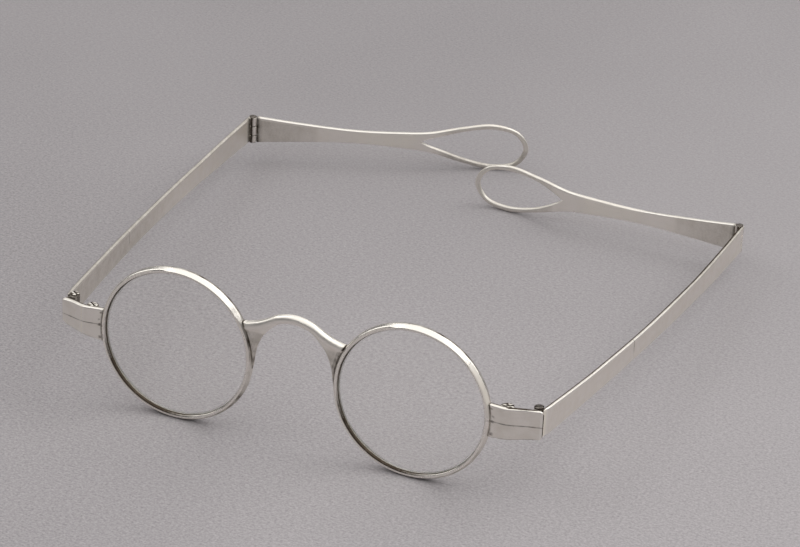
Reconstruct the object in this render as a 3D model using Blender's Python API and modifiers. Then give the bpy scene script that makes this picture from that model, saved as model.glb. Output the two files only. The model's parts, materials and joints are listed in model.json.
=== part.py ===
"""Silver spectacles of the early nineteenth century: round eyewires joined by an arched bridge,
split end pieces closed by a screw, and temples that are hinged twice and end in a wire loop.

Lengths are metres. The spectacles face -Y, their temples run back along +Y, and +Z is up. Every piece
is modelled in the plane of the front, and the whole then leans back until both rims and both loops
touch the ground. Right is the +X side, as seen by someone who faces the spectacles.
"""
import math

import bmesh
import bpy
from mathutils import Matrix, Vector

# Clearances
SEAT_GAP = 0.0003        # between pieces that are soldered or seated on each other
TURN_GAP = 0.0002        # between knuckles that turn past each other
PIN_GAP = 0.00008        # round a pin or a screw in its bore
CUT_OVERRUN = 0.002      # how far a cutter runs past what it cuts
EDGE_ROUND = 0.00014     # worn edges of the flat silver
WELD_SPAN = 0.000003     # corners nearer than this are one

# Stance
FRONT_TILT = math.radians(5.08)

# Eyewires
RIM_GAP = 0.0191         # between the two rims, where they are nearest
RIM_RADIUS = 0.01725     # to the middle of the wire
RIM_THICKNESS = 0.0011   # radially
RIM_DEPTH = 0.0017       # front to back
GROOVE_DEPTH = 0.00045
GROOVE_WIDTH = 0.00095
INNER_FLAT_SHARE = 0.78  # of the wire's depth, on the side of the lens

# Lenses
LENS_BEVEL_GAP = 0.00022
LENS_CENTRE_THICKNESS = 0.0016
LENS_EDGE_THICKNESS = 0.0009
LENS_BEVEL = 0.00055
HALFWAY_SAG_SHARE = 0.75

# Bridge
BRIDGE_WIRE = 0.0021
BRIDGE_LINE = ((0.0, 0.01228), (0.00375, 0.0115), (0.0061, 0.01015), (0.0082, 0.00912), (0.0107, 0.00845))
FOOT_DEPTH = 0.0018
FOOT_LINE = ((0.00875, 0.0034), (0.0081, 0.0054), (0.0073, 0.0073), (0.0061, 0.0087), (0.0048, 0.0098),
             (0.0044, 0.0106))
FOOT_TOP = 0.0092
FOOT_BOTTOM = 0.0012
FOOT_END_WIDTH = 0.0003
FOOT_ROUND = 0.00025

# End pieces
PLATE_THICKNESS = 0.0012
PLATE_TOP_AT_RIM = 0.0041
PLATE_BOTTOM_AT_RIM = 0.0036
PLATE_TOP_AT_END = 0.0036
PLATE_BOTTOM_AT_END = 0.0034
PLATE_ROOT = 0.0007      # how far the plate reaches round the curve of the rim
BEND_OUT = 0.00446       # from the rim to the bend
PLATE_END_OUT = 0.0108   # from the rim to the outer corner
PLATE_END_BACK = 0.0036  # from the plate's face to the outer corner
JOINT_HEIGHT = 0.0003    # the split between the two halves, above the rims' centres
CLOSING_OUT = 0.0025     # from the rim to the closing screw
CLOSING_RADIUS = 0.00115
CLOSING_BACK = 0.0008    # closing screw's axis behind the plate's inner face

# Screws
SCREW_RADIUS = 0.0005
SCREW_HEAD_RADIUS = 0.0009
SCREW_HEAD_HEIGHT = 0.00045
SLOT_WIDTH = 0.00026
SLOT_DEPTH = 0.00022

# Front hinges
HINGE_INSET = 0.00185    # axis inside the end piece's outer corner
HINGE_BEHIND = 0.00125   # axis behind the end piece's end
HINGE_RADIUS = 0.00105
HINGE_MIDDLE_HEIGHT = 0.0022
HINGE_TOP = 0.0039
HINGE_BOTTOM = 0.0035
WEB_WIDTH = 0.0016
WEB_DROP = 0.0004        # the web stops this far short of the plate's edge
KNUCKLE_PROUD = 0.0001   # a knuckle stands this far above the flat that carries it

# Temple bars
BAR_LENGTH = 0.1030      # hinge to hinge
BAR_THICKNESS = 0.0010
BAR_FRONT_OFFSET = 0.0009    # inner face outside the hinge axis, at the front
BAR_REAR_OFFSET = 0.00015    # and at the rear
BAR_START = 0.0009       # the bar begins this far in front of its hinge axis
BAR_BOW = 0.00178
BAR_FRONT_HEIGHT = 0.0065
BAR_SECOND_HEIGHT = 0.0054
BAR_WAIST_HEIGHT = 0.0049
BAR_THIRD_HEIGHT = 0.0051
BAR_REAR_HEIGHT = 0.0070
BAR_HEIGHT_SHARES = (0.0, 0.2, 0.45, 0.72, 1.0)
BAR_FALL = 0.0010        # drop of the bar's middle line from hinge to hinge
CHAMFER_LENGTH = 0.0023
CHAMFER_DEPTH = 0.0004

# Rear hinges
REAR_RADIUS = 0.0010
REAR_BARREL_SHORT = 0.0001   # the hinge is this much shorter than the bar is high
REAR_MIDDLE_HEIGHT = 0.0022
REAR_PIN_RADIUS = 0.00045
REAR_PIN_HEAD_RADIUS = 0.00075
REAR_PIN_HEAD_HEIGHT = 0.00035
REAR_END_GAP = 0.00015   # the strips stop this far from the plane through the axis

# Temple ends
TIP_LENGTH = 0.0664      # rear hinge to the end of the loop
TIP_THICKNESS = 0.0010
TIP_ROUND = 0.00022
TIP_ROOT_SHORT = 0.0003      # the root is this much lower than the bar's rear end
TIP_WAIST_HEIGHT = 0.0033
TIP_FORK_HEIGHT = 0.0052
LOOP_HEIGHT = 0.0117
LOOP_WIRE = 0.00125
FORK_CROTCH = 0.0006     # width of the opening's blunt start
TIP_TAPER_SHARE = 0.18
TIP_WAIST_SHARE = 0.38
TIP_NECK_SHARE = 0.52
TIP_FORK_SHARE = 0.64
LOOP_RISE_SHARE = 0.76
LOOP_CREST_SHARE = 0.875
LOOP_ROUND_SHARE = 0.966
TAPER_HEIGHT_SHARE = 0.42    # of the fall from the root to the waist that is still to come
NECK_HEIGHT_SHARE = 0.3      # of the rise from the waist to the fork
RISE_HEIGHT_SHARE = 0.79     # of the loop's height
ROUND_HEIGHT_SHARE = 0.7
ROUND_BACK_SHARE = 0.75      # of the wire, along the strip, where the loop closes
ROUND_DOWN_SHARE = 0.6       # of the wire, across the strip

# Each side as it stands: how far the bar is opened, how far the end is turned in, and the solder seam
SIDES = {
    "right": {"side": 1, "splay": math.radians(4.9), "turn": math.radians(93.0), "seam_share": 0.385},
    "left": {"side": -1, "splay": math.radians(3.5), "turn": math.radians(75.0), "seam_share": 0.335},
}

# Facets
RING_STEPS = 72
LENS_STEPS = 48
ROUND_STEPS = 20
BAR_STATIONS = 26

# Values that follow
RIM_OUTER = RIM_RADIUS + RIM_THICKNESS / 2
HALF_SPACING = RIM_GAP / 2 + RIM_OUTER
RIM_INNER = RIM_RADIUS - RIM_THICKNESS / 2
PLATE_FACE = -RIM_DEPTH / 2
PLATE_START = HALF_SPACING + RIM_OUTER
PLATE_END = PLATE_FACE + PLATE_END_BACK
HINGE_OUT = PLATE_START + PLATE_END_OUT - HINGE_INSET
HINGE_BACK = PLATE_END + HINGE_BEHIND
REAR_HEIGHT = BAR_REAR_HEIGHT - REAR_BARREL_SHORT
TIP_ROOT_HEIGHT = BAR_REAR_HEIGHT - TIP_ROOT_SHORT
REAR_LEVEL = JOINT_HEIGHT - BAR_FALL
REAR_ROOM_RADIUS = BAR_REAR_OFFSET + BAR_THICKNESS + PIN_GAP
SILVER = (0.62, 0.59, 0.55, 1.0)
DARK_STEEL = (0.16, 0.15, 0.14, 1.0)


def clear_scene():
    for thing in list(bpy.data.objects):
        bpy.data.objects.remove(thing)
    for group in list(bpy.data.collections):
        bpy.data.collections.remove(group)


def new_collection(name):
    group = bpy.data.collections.new(name)
    bpy.context.scene.collection.children.link(group)
    return group


def material(name, colour, roughness, metallic, alpha=1.0):
    made = bpy.data.materials.new(name)
    made.use_nodes = True
    shader = made.node_tree.nodes["Principled BSDF"]
    shader.inputs["Base Color"].default_value = colour
    shader.inputs["Roughness"].default_value = roughness
    shader.inputs["Metallic"].default_value = metallic
    shader.inputs["Alpha"].default_value = alpha
    return made


def silver(name):
    return material(name + "_silver", SILVER, 0.32, 1.0)


def empty(name, parent, location=(0, 0, 0), turn=(0, 0, 0)):
    made = bpy.data.objects.new(name, None)
    PARTS.objects.link(made)
    made.parent = parent
    made.location = location
    made.rotation_euler = turn
    return made


def add_piece(name, mesh, parent, finish, location=(0, 0, 0), turn=(0, 0, 0)):
    made = bpy.data.objects.new(name, mesh)
    PARTS.objects.link(made)
    made.parent = parent
    made.location = location
    made.rotation_euler = turn
    mesh.materials.append(finish)
    return made


def add_tool(name, mesh, parent, location=(0, 0, 0)):
    made = bpy.data.objects.new(name, mesh)
    CUTTERS.objects.link(made)
    made.parent = parent
    made.location = location
    made.hide_render = True
    made.display_type = "WIRE"
    return made


def boolean(target, tool, operation):
    step = target.modifiers.new(tool.name, "BOOLEAN")
    step.object = tool
    step.operation = operation
    return step


def add_round(target, name, radius, spans, location):
    """Adds an upright cylinder to a piece, between two heights."""
    boolean(target, add_tool(name, round_bar(name, radius, *spans), target.parent, location), "UNION")


def cut_round(target, name, radius, spans, location):
    boolean(target, add_tool(name, round_bar(name, radius, *spans), target.parent, location), "DIFFERENCE")


def bevel(target, width, segments=2, angle=math.radians(28)):
    step = target.modifiers.new("worn_edges", "BEVEL")
    step.width = width
    step.segments = segments
    step.limit_method = "ANGLE"
    step.angle_limit = angle
    joined = target.modifiers.new("joined_edges", "WELD")
    joined.merge_threshold = WELD_SPAN


def finish_mesh(bm, name):
    bmesh.ops.recalc_face_normals(bm, faces=bm.faces)
    mesh = bpy.data.meshes.new(name)
    bm.to_mesh(mesh)
    bm.free()
    return mesh


def round_bar(name, radius, bottom, top, steps=ROUND_STEPS):
    """A cylinder on the Z axis from bottom to top."""
    bm = bmesh.new()
    bmesh.ops.create_cone(bm, cap_ends=True, segments=steps, radius1=radius, radius2=radius,
                          depth=top - bottom)
    bmesh.ops.translate(bm, verts=bm.verts, vec=(0, 0, (top + bottom) / 2))
    return finish_mesh(bm, name)


def block(name, low, high):
    """A box between two corners."""
    bm = bmesh.new()
    bmesh.ops.create_cube(bm, size=1.0)
    size = [high[axis] - low[axis] for axis in range(3)]
    middle = [(high[axis] + low[axis]) / 2 for axis in range(3)]
    bmesh.ops.scale(bm, verts=bm.verts, vec=size)
    bmesh.ops.translate(bm, verts=bm.verts, vec=middle)
    return finish_mesh(bm, name)


def mesh_of_curve(name, curve):
    drawn = bpy.data.objects.new(name + "_drawn", curve)
    bpy.context.scene.collection.objects.link(drawn)
    depsgraph = bpy.context.evaluated_depsgraph_get()
    mesh = bpy.data.meshes.new_from_object(drawn.evaluated_get(depsgraph))
    bpy.data.objects.remove(drawn)
    bm = bmesh.new()
    bm.from_mesh(mesh)
    bpy.data.meshes.remove(mesh)
    bmesh.ops.remove_doubles(bm, verts=bm.verts, dist=WELD_SPAN)
    return finish_mesh(bm, name)


def outline_mesh(name, loops, thickness, resolution):
    """A flat plate in the XY plane. Each loop is a list of (x, y, corner) and the later ones are holes."""
    curve = bpy.data.curves.new(name + "_outline", "CURVE")
    curve.dimensions = "2D"
    curve.fill_mode = "BOTH"
    curve.extrude = thickness / 2
    curve.resolution_u = resolution
    for loop in loops:
        spline = curve.splines.new("BEZIER")
        spline.bezier_points.add(len(loop) - 1)
        spline.use_cyclic_u = True
        for point, (x, y, corner) in zip(spline.bezier_points, loop):
            point.co = (x, y, 0)
            point.handle_left_type = "VECTOR" if corner else "AUTO"
            point.handle_right_type = "VECTOR" if corner else "AUTO"
    return mesh_of_curve(name, curve)


def turned_piece(name, profile, steps, parent, finish, location):
    """A profile of (radius, depth) turned about the line of sight through the rim's centre."""
    bm = bmesh.new()
    corners = [bm.verts.new((radius, 0, depth)) for radius, depth in profile]
    for first, second in zip(corners, corners[1:]):
        bm.edges.new((first, second))
    if profile[0][0] > 0:
        bm.edges.new((corners[-1], corners[0]))
    mesh = bpy.data.meshes.new(name)
    bm.to_mesh(mesh)
    bm.free()
    made = add_piece(name, mesh, parent, finish, location, (math.radians(90), 0, 0))
    screw = made.modifiers.new("turned", "SCREW")
    screw.axis = "Z"
    screw.steps = steps
    screw.render_steps = steps
    screw.use_merge_vertices = True
    screw.merge_threshold = WELD_SPAN
    screw.use_normal_calculate = True
    return made


def rim_profile():
    """Half round outside, flat inside, with a V groove for the lens."""
    points = []
    arc_points = 7
    for step in range(arc_points):
        angle = math.radians(-90) + math.radians(180) * step / (arc_points - 1)
        points.append((RIM_RADIUS + RIM_THICKNESS / 2 * math.cos(angle), RIM_DEPTH / 2 * math.sin(angle)))
    flat = RIM_DEPTH / 2 * INNER_FLAT_SHARE
    points.append((RIM_INNER, flat))
    points.append((RIM_INNER, GROOVE_WIDTH / 2))
    points.append((RIM_INNER + GROOVE_DEPTH, 0))
    points.append((RIM_INNER, -GROOVE_WIDTH / 2))
    points.append((RIM_INNER, -flat))
    return points


def lens_profile():
    """Both faces slightly curved, with a bevelled edge that runs in the groove."""
    edge = RIM_INNER + GROOVE_DEPTH - LENS_BEVEL_GAP
    shoulder = edge - LENS_BEVEL
    centre = LENS_CENTRE_THICKNESS / 2
    side = LENS_EDGE_THICKNESS / 2
    half = side + (centre - side) * HALFWAY_SAG_SHARE
    return [(0, -centre), (shoulder / 2, -half), (shoulder, -side), (edge, 0),
            (shoulder, side), (shoulder / 2, half), (0, centre)]


def make_eye(name, side, front):
    """One eyewire, slit where its end piece parts, and its lens."""
    place = (side * HALF_SPACING, 0, 0)
    rim = turned_piece(name + "_rim", rim_profile(), RING_STEPS, front, silver(name + "_rim"), place)
    inner = side * (HALF_SPACING + RIM_INNER - CUT_OVERRUN)
    outer = side * (HALF_SPACING + RIM_OUTER + CUT_OVERRUN)
    low = (min(inner, outer), -RIM_DEPTH, JOINT_HEIGHT - SEAT_GAP / 2)
    high = (max(inner, outer), RIM_DEPTH, JOINT_HEIGHT + SEAT_GAP / 2)
    slit = add_tool(name + "_rim_slit", block(name + "_rim_slit", low, high), front)
    boolean(rim, slit, "DIFFERENCE")
    glass = material(name + "_lens_glass", (0.86, 0.88, 0.87, 1.0), 0.05, 0.0, 0.35)
    turned_piece(name + "_lens", lens_profile(), LENS_STEPS, front, glass, place)


def rim_edge(height, gap):
    """Distance from the middle plane to the nose side of a rim, at a height."""
    reach = RIM_OUTER + gap
    return HALF_SPACING - math.sqrt(reach * reach - height * height)


def foot_outline(side):
    """One foot of the bridge: it spreads down the rim and thins out to a narrow end."""
    steps = 9
    outline = []
    for step in range(steps + 1):
        height = FOOT_TOP + (FOOT_BOTTOM - FOOT_TOP) * step / steps
        outline.append((rim_edge(height, SEAT_GAP), height, step in (0, steps)))
    outline.append((rim_edge(FOOT_BOTTOM, SEAT_GAP) - FOOT_END_WIDTH, FOOT_BOTTOM, True))
    outline += [(out, height, False) for out, height in FOOT_LINE[:-1]]
    outline.append((*FOOT_LINE[-1], True))
    return [(side * out, height, corner) for out, height, corner in outline]


def arch_mesh(name):
    """The round wire of the bridge, from inside one foot to inside the other."""
    curve = bpy.data.curves.new(name + "_line", "CURVE")
    curve.dimensions = "3D"
    curve.bevel_depth = BRIDGE_WIRE / 2
    curve.bevel_resolution = 4
    curve.use_fill_caps = True
    curve.resolution_u = 4
    line = [(-out, height) for out, height in reversed(BRIDGE_LINE[1:])] + list(BRIDGE_LINE)
    spline = curve.splines.new("BEZIER")
    spline.bezier_points.add(len(line) - 1)
    for point, (out, height) in zip(spline.bezier_points, line):
        point.co = (out, height, 0)
        point.handle_left_type = "AUTO"
        point.handle_right_type = "AUTO"
    return mesh_of_curve(name, curve)


def make_bridge(front):
    upright = (math.radians(90), 0, 0)
    piece = add_piece("bridge", arch_mesh("bridge"), front, silver("bridge"), turn=upright)
    for label, side in (("right_foot", 1), ("left_foot", -1)):
        foot = add_tool(label, outline_mesh(label, [foot_outline(side)], FOOT_DEPTH, 3), front)
        foot.rotation_euler = upright
        bevel(foot, FOOT_ROUND)
        boolean(piece, foot, "UNION").use_self = True


def plate_plan(side):
    """Plan of an end piece: along the front, then bent back to the outer corner."""
    inner_face = PLATE_FACE + PLATE_THICKNESS
    bend = PLATE_START + BEND_OUT
    corner = PLATE_START + PLATE_END_OUT
    corner_back = PLATE_END
    run = Vector((corner - bend, corner_back - PLATE_FACE)).normalized()
    inner_start = Vector((bend, PLATE_FACE)) + PLATE_THICKNESS * Vector((-run.y, run.x))
    inner_bend = inner_start.x + run.x * (inner_face - inner_start.y) / run.y
    inner_end = inner_start.x + run.x * (corner_back - inner_start.y) / run.y
    root = PLATE_START - PLATE_ROOT
    plan = [(root, PLATE_FACE), (bend, PLATE_FACE), (corner, corner_back), (inner_end, corner_back),
            (inner_bend, inner_face), (root, inner_face)]
    return [(side * x, y, True) for x, y in plan]


def make_plate(name, side, front, upper):
    """One half of an end piece, with its closing barrel and its hinge knuckle."""
    joint = JOINT_HEIGHT + (SEAT_GAP / 2 if upper else -SEAT_GAP / 2)
    at_rim = PLATE_TOP_AT_RIM if upper else -PLATE_BOTTOM_AT_RIM
    at_end = PLATE_TOP_AT_END if upper else -PLATE_BOTTOM_AT_END
    mesh = outline_mesh(name, [plate_plan(side)], abs(at_rim - joint), 1)
    middle = (at_rim + joint) / 2
    for corner in mesh.vertices:
        share = (abs(corner.co.x) - PLATE_START) / PLATE_END_OUT
        outside = (corner.co.z > 0) == upper
        corner.co.z = at_rim + (at_end - at_rim) * share if outside else corner.co.z + middle
    piece = add_piece(name, mesh, front, silver(name))
    bevel(piece, EDGE_ROUND)
    closing = (side * (PLATE_START + CLOSING_OUT), PLATE_FACE + PLATE_THICKNESS + CLOSING_BACK, 0)
    hinge = (side * HINGE_OUT, HINGE_BACK, 0)
    knuckle_end = HINGE_TOP if upper else -HINGE_BOTTOM
    half_middle = HINGE_MIDDLE_HEIGHT / 2 + TURN_GAP
    knuckle_start = JOINT_HEIGHT + (half_middle if upper else -half_middle)
    spans = (min(joint, knuckle_end), max(joint, knuckle_end))
    knuckle_spans = (min(knuckle_start, knuckle_end), max(knuckle_start, knuckle_end))
    add_round(piece, name + "_barrel", CLOSING_RADIUS, spans, closing)
    web_end = at_end - (WEB_DROP if upper else -WEB_DROP)
    web_spans = (min(knuckle_start, web_end), max(knuckle_start, web_end))
    web_low = (side * HINGE_OUT - WEB_WIDTH / 2, PLATE_END - PLATE_THICKNESS / 2, web_spans[0])
    web_high = (side * HINGE_OUT + WEB_WIDTH / 2, HINGE_BACK - HINGE_RADIUS / 3, web_spans[1])
    boolean(piece, add_tool(name + "_web", block(name + "_web", web_low, web_high), front), "UNION")
    add_round(piece, name + "_knuckle", HINGE_RADIUS, knuckle_spans, hinge)
    bore_radius = SCREW_RADIUS + PIN_GAP
    reach = (-HINGE_BOTTOM - CUT_OVERRUN, HINGE_TOP + CUT_OVERRUN)
    cut_round(piece, name + "_closing_bore", bore_radius, reach, closing)
    cut_round(piece, name + "_hinge_bore", bore_radius, reach, hinge)
    room = round_bar(name + "_rim_room", RIM_OUTER + SEAT_GAP, -CUT_OVERRUN, CUT_OVERRUN, RING_STEPS)
    room_tool = add_tool(name + "_rim_room", room, front, (side * HALF_SPACING, 0, 0))
    room_tool.rotation_euler = (math.radians(90), 0, 0)
    boolean(piece, room_tool, "DIFFERENCE")


def make_screw(name, front, where, head_bottom, bottom, shaft_radius, head_radius, head_height):
    """A slotted screw that stands on the Z axis through where."""
    finish = material(name + "_steel", DARK_STEEL, 0.45, 1.0)
    piece = add_piece(name, round_bar(name, shaft_radius, bottom, head_bottom + head_height / 2),
                      front, finish, where)
    top = head_bottom + head_height
    add_round(piece, name + "_head", head_radius, (head_bottom, top), where)
    slot_mesh = block(name + "_slot", (-head_radius - CUT_OVERRUN, -SLOT_WIDTH / 2, top - SLOT_DEPTH),
                      (head_radius + CUT_OVERRUN, SLOT_WIDTH / 2, top + CUT_OVERRUN))
    boolean(piece, add_tool(name + "_slot", slot_mesh, front, where), "DIFFERENCE")


def make_end_piece(name, side, front):
    make_plate(name + "_endpiece_upper", side, front, True)
    make_plate(name + "_endpiece_lower", side, front, False)
    closing = (side * (PLATE_START + CLOSING_OUT), PLATE_FACE + PLATE_THICKNESS + CLOSING_BACK, 0)
    hinge = (side * HINGE_OUT, HINGE_BACK, 0)
    for label, where in (("closing_screw", closing), ("hinge_screw", hinge)):
        make_screw(name + "_" + label, front, where, HINGE_TOP + PIN_GAP, -HINGE_BOTTOM,
                   SCREW_RADIUS, SCREW_HEAD_RADIUS, SCREW_HEAD_HEIGHT)


def bar_share(y):
    """How far along the bar a place is, from the front hinge to the rear one."""
    return y / BAR_LENGTH


def bar_height(y):
    """Height of the bar, read smoothly between its five measured heights."""
    heights = (BAR_FRONT_HEIGHT, BAR_SECOND_HEIGHT, BAR_WAIST_HEIGHT, BAR_THIRD_HEIGHT, BAR_REAR_HEIGHT)
    share = min(max(bar_share(y), 0.0), 1.0)
    for index in range(len(heights) - 1):
        start, end = BAR_HEIGHT_SHARES[index], BAR_HEIGHT_SHARES[index + 1]
        if share <= end:
            part = (share - start) / (end - start)
            smooth = part if index in (0, len(heights) - 2) else part * part * (3 - 2 * part)
            return heights[index] + (heights[index + 1] - heights[index]) * smooth
    return heights[-1]


def bar_inner(y):
    """Inner face of the bar, outward from the line between its hinges."""
    share = bar_share(y)
    inside = min(max(share, 0.0), 1.0)
    lean = BAR_FRONT_OFFSET + (BAR_REAR_OFFSET - BAR_FRONT_OFFSET) * share
    return lean + 4 * BAR_BOW * inside * (1 - inside)


def bar_level(y):
    return JOINT_HEIGHT - BAR_FALL * bar_share(y)


def bar_strip(name, side, start, end, stations):
    """A length of the flat bar, on edge and bowed outward."""
    bm = bmesh.new()
    bmesh.ops.create_cube(bm, size=1.0)
    for station in range(1, stations):
        cut = station / stations - 0.5
        geometry = bm.verts[:] + bm.edges[:] + bm.faces[:]
        bmesh.ops.bisect_plane(bm, geom=geometry, plane_co=(0, cut, 0), plane_no=(0, 1, 0))
    for corner in bm.verts:
        y = start + (end - start) * (corner.co.y + 0.5)
        outer = corner.co.x > 0
        top = corner.co.z > 0
        half = bar_height(y) / 2
        x = bar_inner(y) + (BAR_THICKNESS if outer else 0)
        if outer and y < CHAMFER_LENGTH - BAR_START:
            x -= CHAMFER_DEPTH * (CHAMFER_LENGTH - BAR_START - y) / CHAMFER_LENGTH
        corner.co = (side * x, y, bar_level(y) + (half if top else -half))
    return finish_mesh(bm, name)


def make_bar(name, side, pivot, seam_share):
    """The bar in its two soldered lengths, with the knuckles at both of its hinges."""
    seam = BAR_LENGTH * seam_share
    front_name = name + "_bar_front"
    front_stations = round(BAR_STATIONS * seam_share)
    front_mesh = bar_strip(front_name, side, -BAR_START, seam - SEAT_GAP / 2, front_stations)
    piece = add_piece(front_name, front_mesh, pivot, silver(front_name))
    bevel(piece, EDGE_ROUND)
    half_middle = HINGE_MIDDLE_HEIGHT / 2
    middle = (JOINT_HEIGHT - half_middle, JOINT_HEIGHT + half_middle)
    room_radius = HINGE_RADIUS + TURN_GAP
    upper_room = (middle[1] - KNUCKLE_PROUD, HINGE_TOP + CUT_OVERRUN)
    lower_room = (-HINGE_BOTTOM - CUT_OVERRUN, middle[0] + KNUCKLE_PROUD)
    front_axis = (0, 0, 0)
    cut_round(piece, front_name + "_upper_room", room_radius, upper_room, front_axis)
    cut_round(piece, front_name + "_lower_room", room_radius, lower_room, front_axis)
    add_round(piece, front_name + "_knuckle", HINGE_RADIUS, middle, front_axis)
    reach = (-HINGE_BOTTOM - CUT_OVERRUN, HINGE_TOP + CUT_OVERRUN)
    cut_round(piece, front_name + "_bore", SCREW_RADIUS + PIN_GAP, reach, front_axis)

    rear_name = name + "_bar_rear"
    rear_axis = (0, BAR_LENGTH, REAR_LEVEL)
    rear_mesh = bar_strip(rear_name, side, seam + SEAT_GAP / 2, BAR_LENGTH - REAR_END_GAP,
                          BAR_STATIONS - front_stations)
    piece = add_piece(rear_name, rear_mesh, pivot, silver(rear_name))
    bevel(piece, EDGE_ROUND)
    half_height = REAR_HEIGHT / 2
    half_middle = REAR_MIDDLE_HEIGHT / 2 + TURN_GAP
    room_top = half_middle + KNUCKLE_PROUD
    cut_round(piece, rear_name + "_room", REAR_ROOM_RADIUS, (-room_top, room_top), rear_axis)
    add_round(piece, rear_name + "_upper_knuckle", REAR_RADIUS, (half_middle, half_height), rear_axis)
    add_round(piece, rear_name + "_lower_knuckle", REAR_RADIUS, (-half_height, -half_middle), rear_axis)
    reach = (-half_height - CUT_OVERRUN, half_height + CUT_OVERRUN)
    cut_round(piece, rear_name + "_bore", REAR_PIN_RADIUS + PIN_GAP, reach, rear_axis)


def make_rear_pin(name, pivot):
    """The rivet of a rear hinge, with a small head at both ends."""
    finish = material(name + "_steel", DARK_STEEL, 0.45, 1.0)
    rear_axis = (0, BAR_LENGTH, REAR_LEVEL)
    head_start = REAR_HEIGHT / 2 + PIN_GAP
    head_end = head_start + REAR_PIN_HEAD_HEIGHT
    inside = head_start + REAR_PIN_HEAD_HEIGHT / 2
    piece = add_piece(name, round_bar(name, REAR_PIN_RADIUS, -inside, inside), pivot, finish, rear_axis)
    add_round(piece, name + "_upper_head", REAR_PIN_HEAD_RADIUS, (head_start, head_end), rear_axis)
    add_round(piece, name + "_lower_head", REAR_PIN_HEAD_RADIUS, (-head_end, -head_start), rear_axis)


def tip_outlines():
    """Outer line of a temple end and the opening of its loop, as (along, up, corner)."""
    root = TIP_ROOT_HEIGHT / 2
    loop = LOOP_HEIGHT / 2
    fork = TIP_FORK_HEIGHT / 2
    waist = TIP_WAIST_HEIGHT / 2
    upper = [
        (REAR_END_GAP, root, True),
        (TIP_LENGTH * TIP_TAPER_SHARE, waist + (root - waist) * TAPER_HEIGHT_SHARE, False),
        (TIP_LENGTH * TIP_WAIST_SHARE, waist, False),
        (TIP_LENGTH * TIP_NECK_SHARE, waist + (fork - waist) * NECK_HEIGHT_SHARE, False),
        (TIP_LENGTH * TIP_FORK_SHARE, fork, False),
        (TIP_LENGTH * LOOP_RISE_SHARE, loop * RISE_HEIGHT_SHARE, False),
        (TIP_LENGTH * LOOP_CREST_SHARE, loop, False),
        (TIP_LENGTH * LOOP_ROUND_SHARE, loop * ROUND_HEIGHT_SHARE, False),
        (TIP_LENGTH, 0, False),
    ]
    hole_upper = [
        (TIP_LENGTH * TIP_FORK_SHARE + LOOP_WIRE, FORK_CROTCH / 2, True),
        (TIP_LENGTH * LOOP_RISE_SHARE, loop * RISE_HEIGHT_SHARE - LOOP_WIRE, False),
        (TIP_LENGTH * LOOP_CREST_SHARE, loop - LOOP_WIRE, False),
        (TIP_LENGTH * LOOP_ROUND_SHARE - LOOP_WIRE * ROUND_BACK_SHARE,
         loop * ROUND_HEIGHT_SHARE - LOOP_WIRE * ROUND_DOWN_SHARE, False),
        (TIP_LENGTH - LOOP_WIRE, 0, False),
    ]
    outer = upper + [(along, -up, corner) for along, up, corner in reversed(upper[:-1])]
    hole = hole_upper + [(along, -up, corner) for along, up, corner in reversed(hole_upper[:-1])]
    return [outer, hole]


def ground_level(back):
    """Height of the ground in the plane of the front, at a distance behind the rims."""
    rest = RIM_RADIUS * math.cos(FRONT_TILT)
    rest += math.hypot(RIM_THICKNESS / 2 * math.cos(FRONT_TILT), RIM_DEPTH / 2 * math.sin(FRONT_TILT))
    return (back * math.sin(FRONT_TILT) - rest) / math.cos(FRONT_TILT)


def tip_slope(mesh, splay, turn):
    """Slope of a temple end that just brings its loop down to the ground."""
    steepest = -math.inf
    for corner in mesh.vertices:
        along, up = corner.co.x, corner.co.y
        if along < TIP_LENGTH / 2:
            continue
        back = HINGE_BACK + BAR_LENGTH * math.cos(splay) + along * math.cos(turn - splay)
        back += (BAR_REAR_OFFSET + TIP_THICKNESS - TIP_ROUND) * math.sin(turn - splay)
        steepest = max(steepest, (ground_level(back) - REAR_LEVEL - up) / along)
    return steepest


def make_tip(name, side, pivot, splay, turn):
    """The hinged end of a temple: a flat strip that forks into a loop of wire."""
    mesh = outline_mesh(name, tip_outlines(), TIP_THICKNESS, 5)
    slope = tip_slope(mesh, splay, turn)
    middle = side * (BAR_REAR_OFFSET + TIP_THICKNESS / 2)
    standing = Matrix(((0, 0, 1, middle), (1, 0, 0, 0), (slope, 1, 0, 0), (0, 0, 0, 1)))
    mesh.transform(standing)
    piece = add_piece(name, mesh, pivot, silver(name))
    bevel(piece, TIP_ROUND)
    half_height = REAR_HEIGHT / 2
    half_middle = REAR_MIDDLE_HEIGHT / 2
    room_start = half_middle - KNUCKLE_PROUD
    room_end = half_height + CUT_OVERRUN
    axis = (0, 0, 0)
    cut_round(piece, name + "_upper_room", REAR_ROOM_RADIUS, (room_start, room_end), axis)
    cut_round(piece, name + "_lower_room", REAR_ROOM_RADIUS, (-room_end, -room_start), axis)
    add_round(piece, name + "_knuckle", REAR_RADIUS, (-half_middle, half_middle), axis)
    cut_round(piece, name + "_bore", REAR_PIN_RADIUS + PIN_GAP, (-half_height, half_height), axis)


def make_temple(name, front, side, splay, turn, seam_share):
    """Both hinged lengths of one temple, on empties that stand on the two hinge axes."""
    pivot = empty(name + "_temple_axis", front, (side * HINGE_OUT, HINGE_BACK, 0), (0, 0, -side * splay))
    make_bar(name, side, pivot, seam_share)
    make_rear_pin(name + "_rear_pin", pivot)
    rear = empty(name + "_tip_axis", pivot, (0, BAR_LENGTH, REAR_LEVEL), (0, 0, side * turn))
    make_tip(name + "_tip", side, rear, splay, turn)


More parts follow.
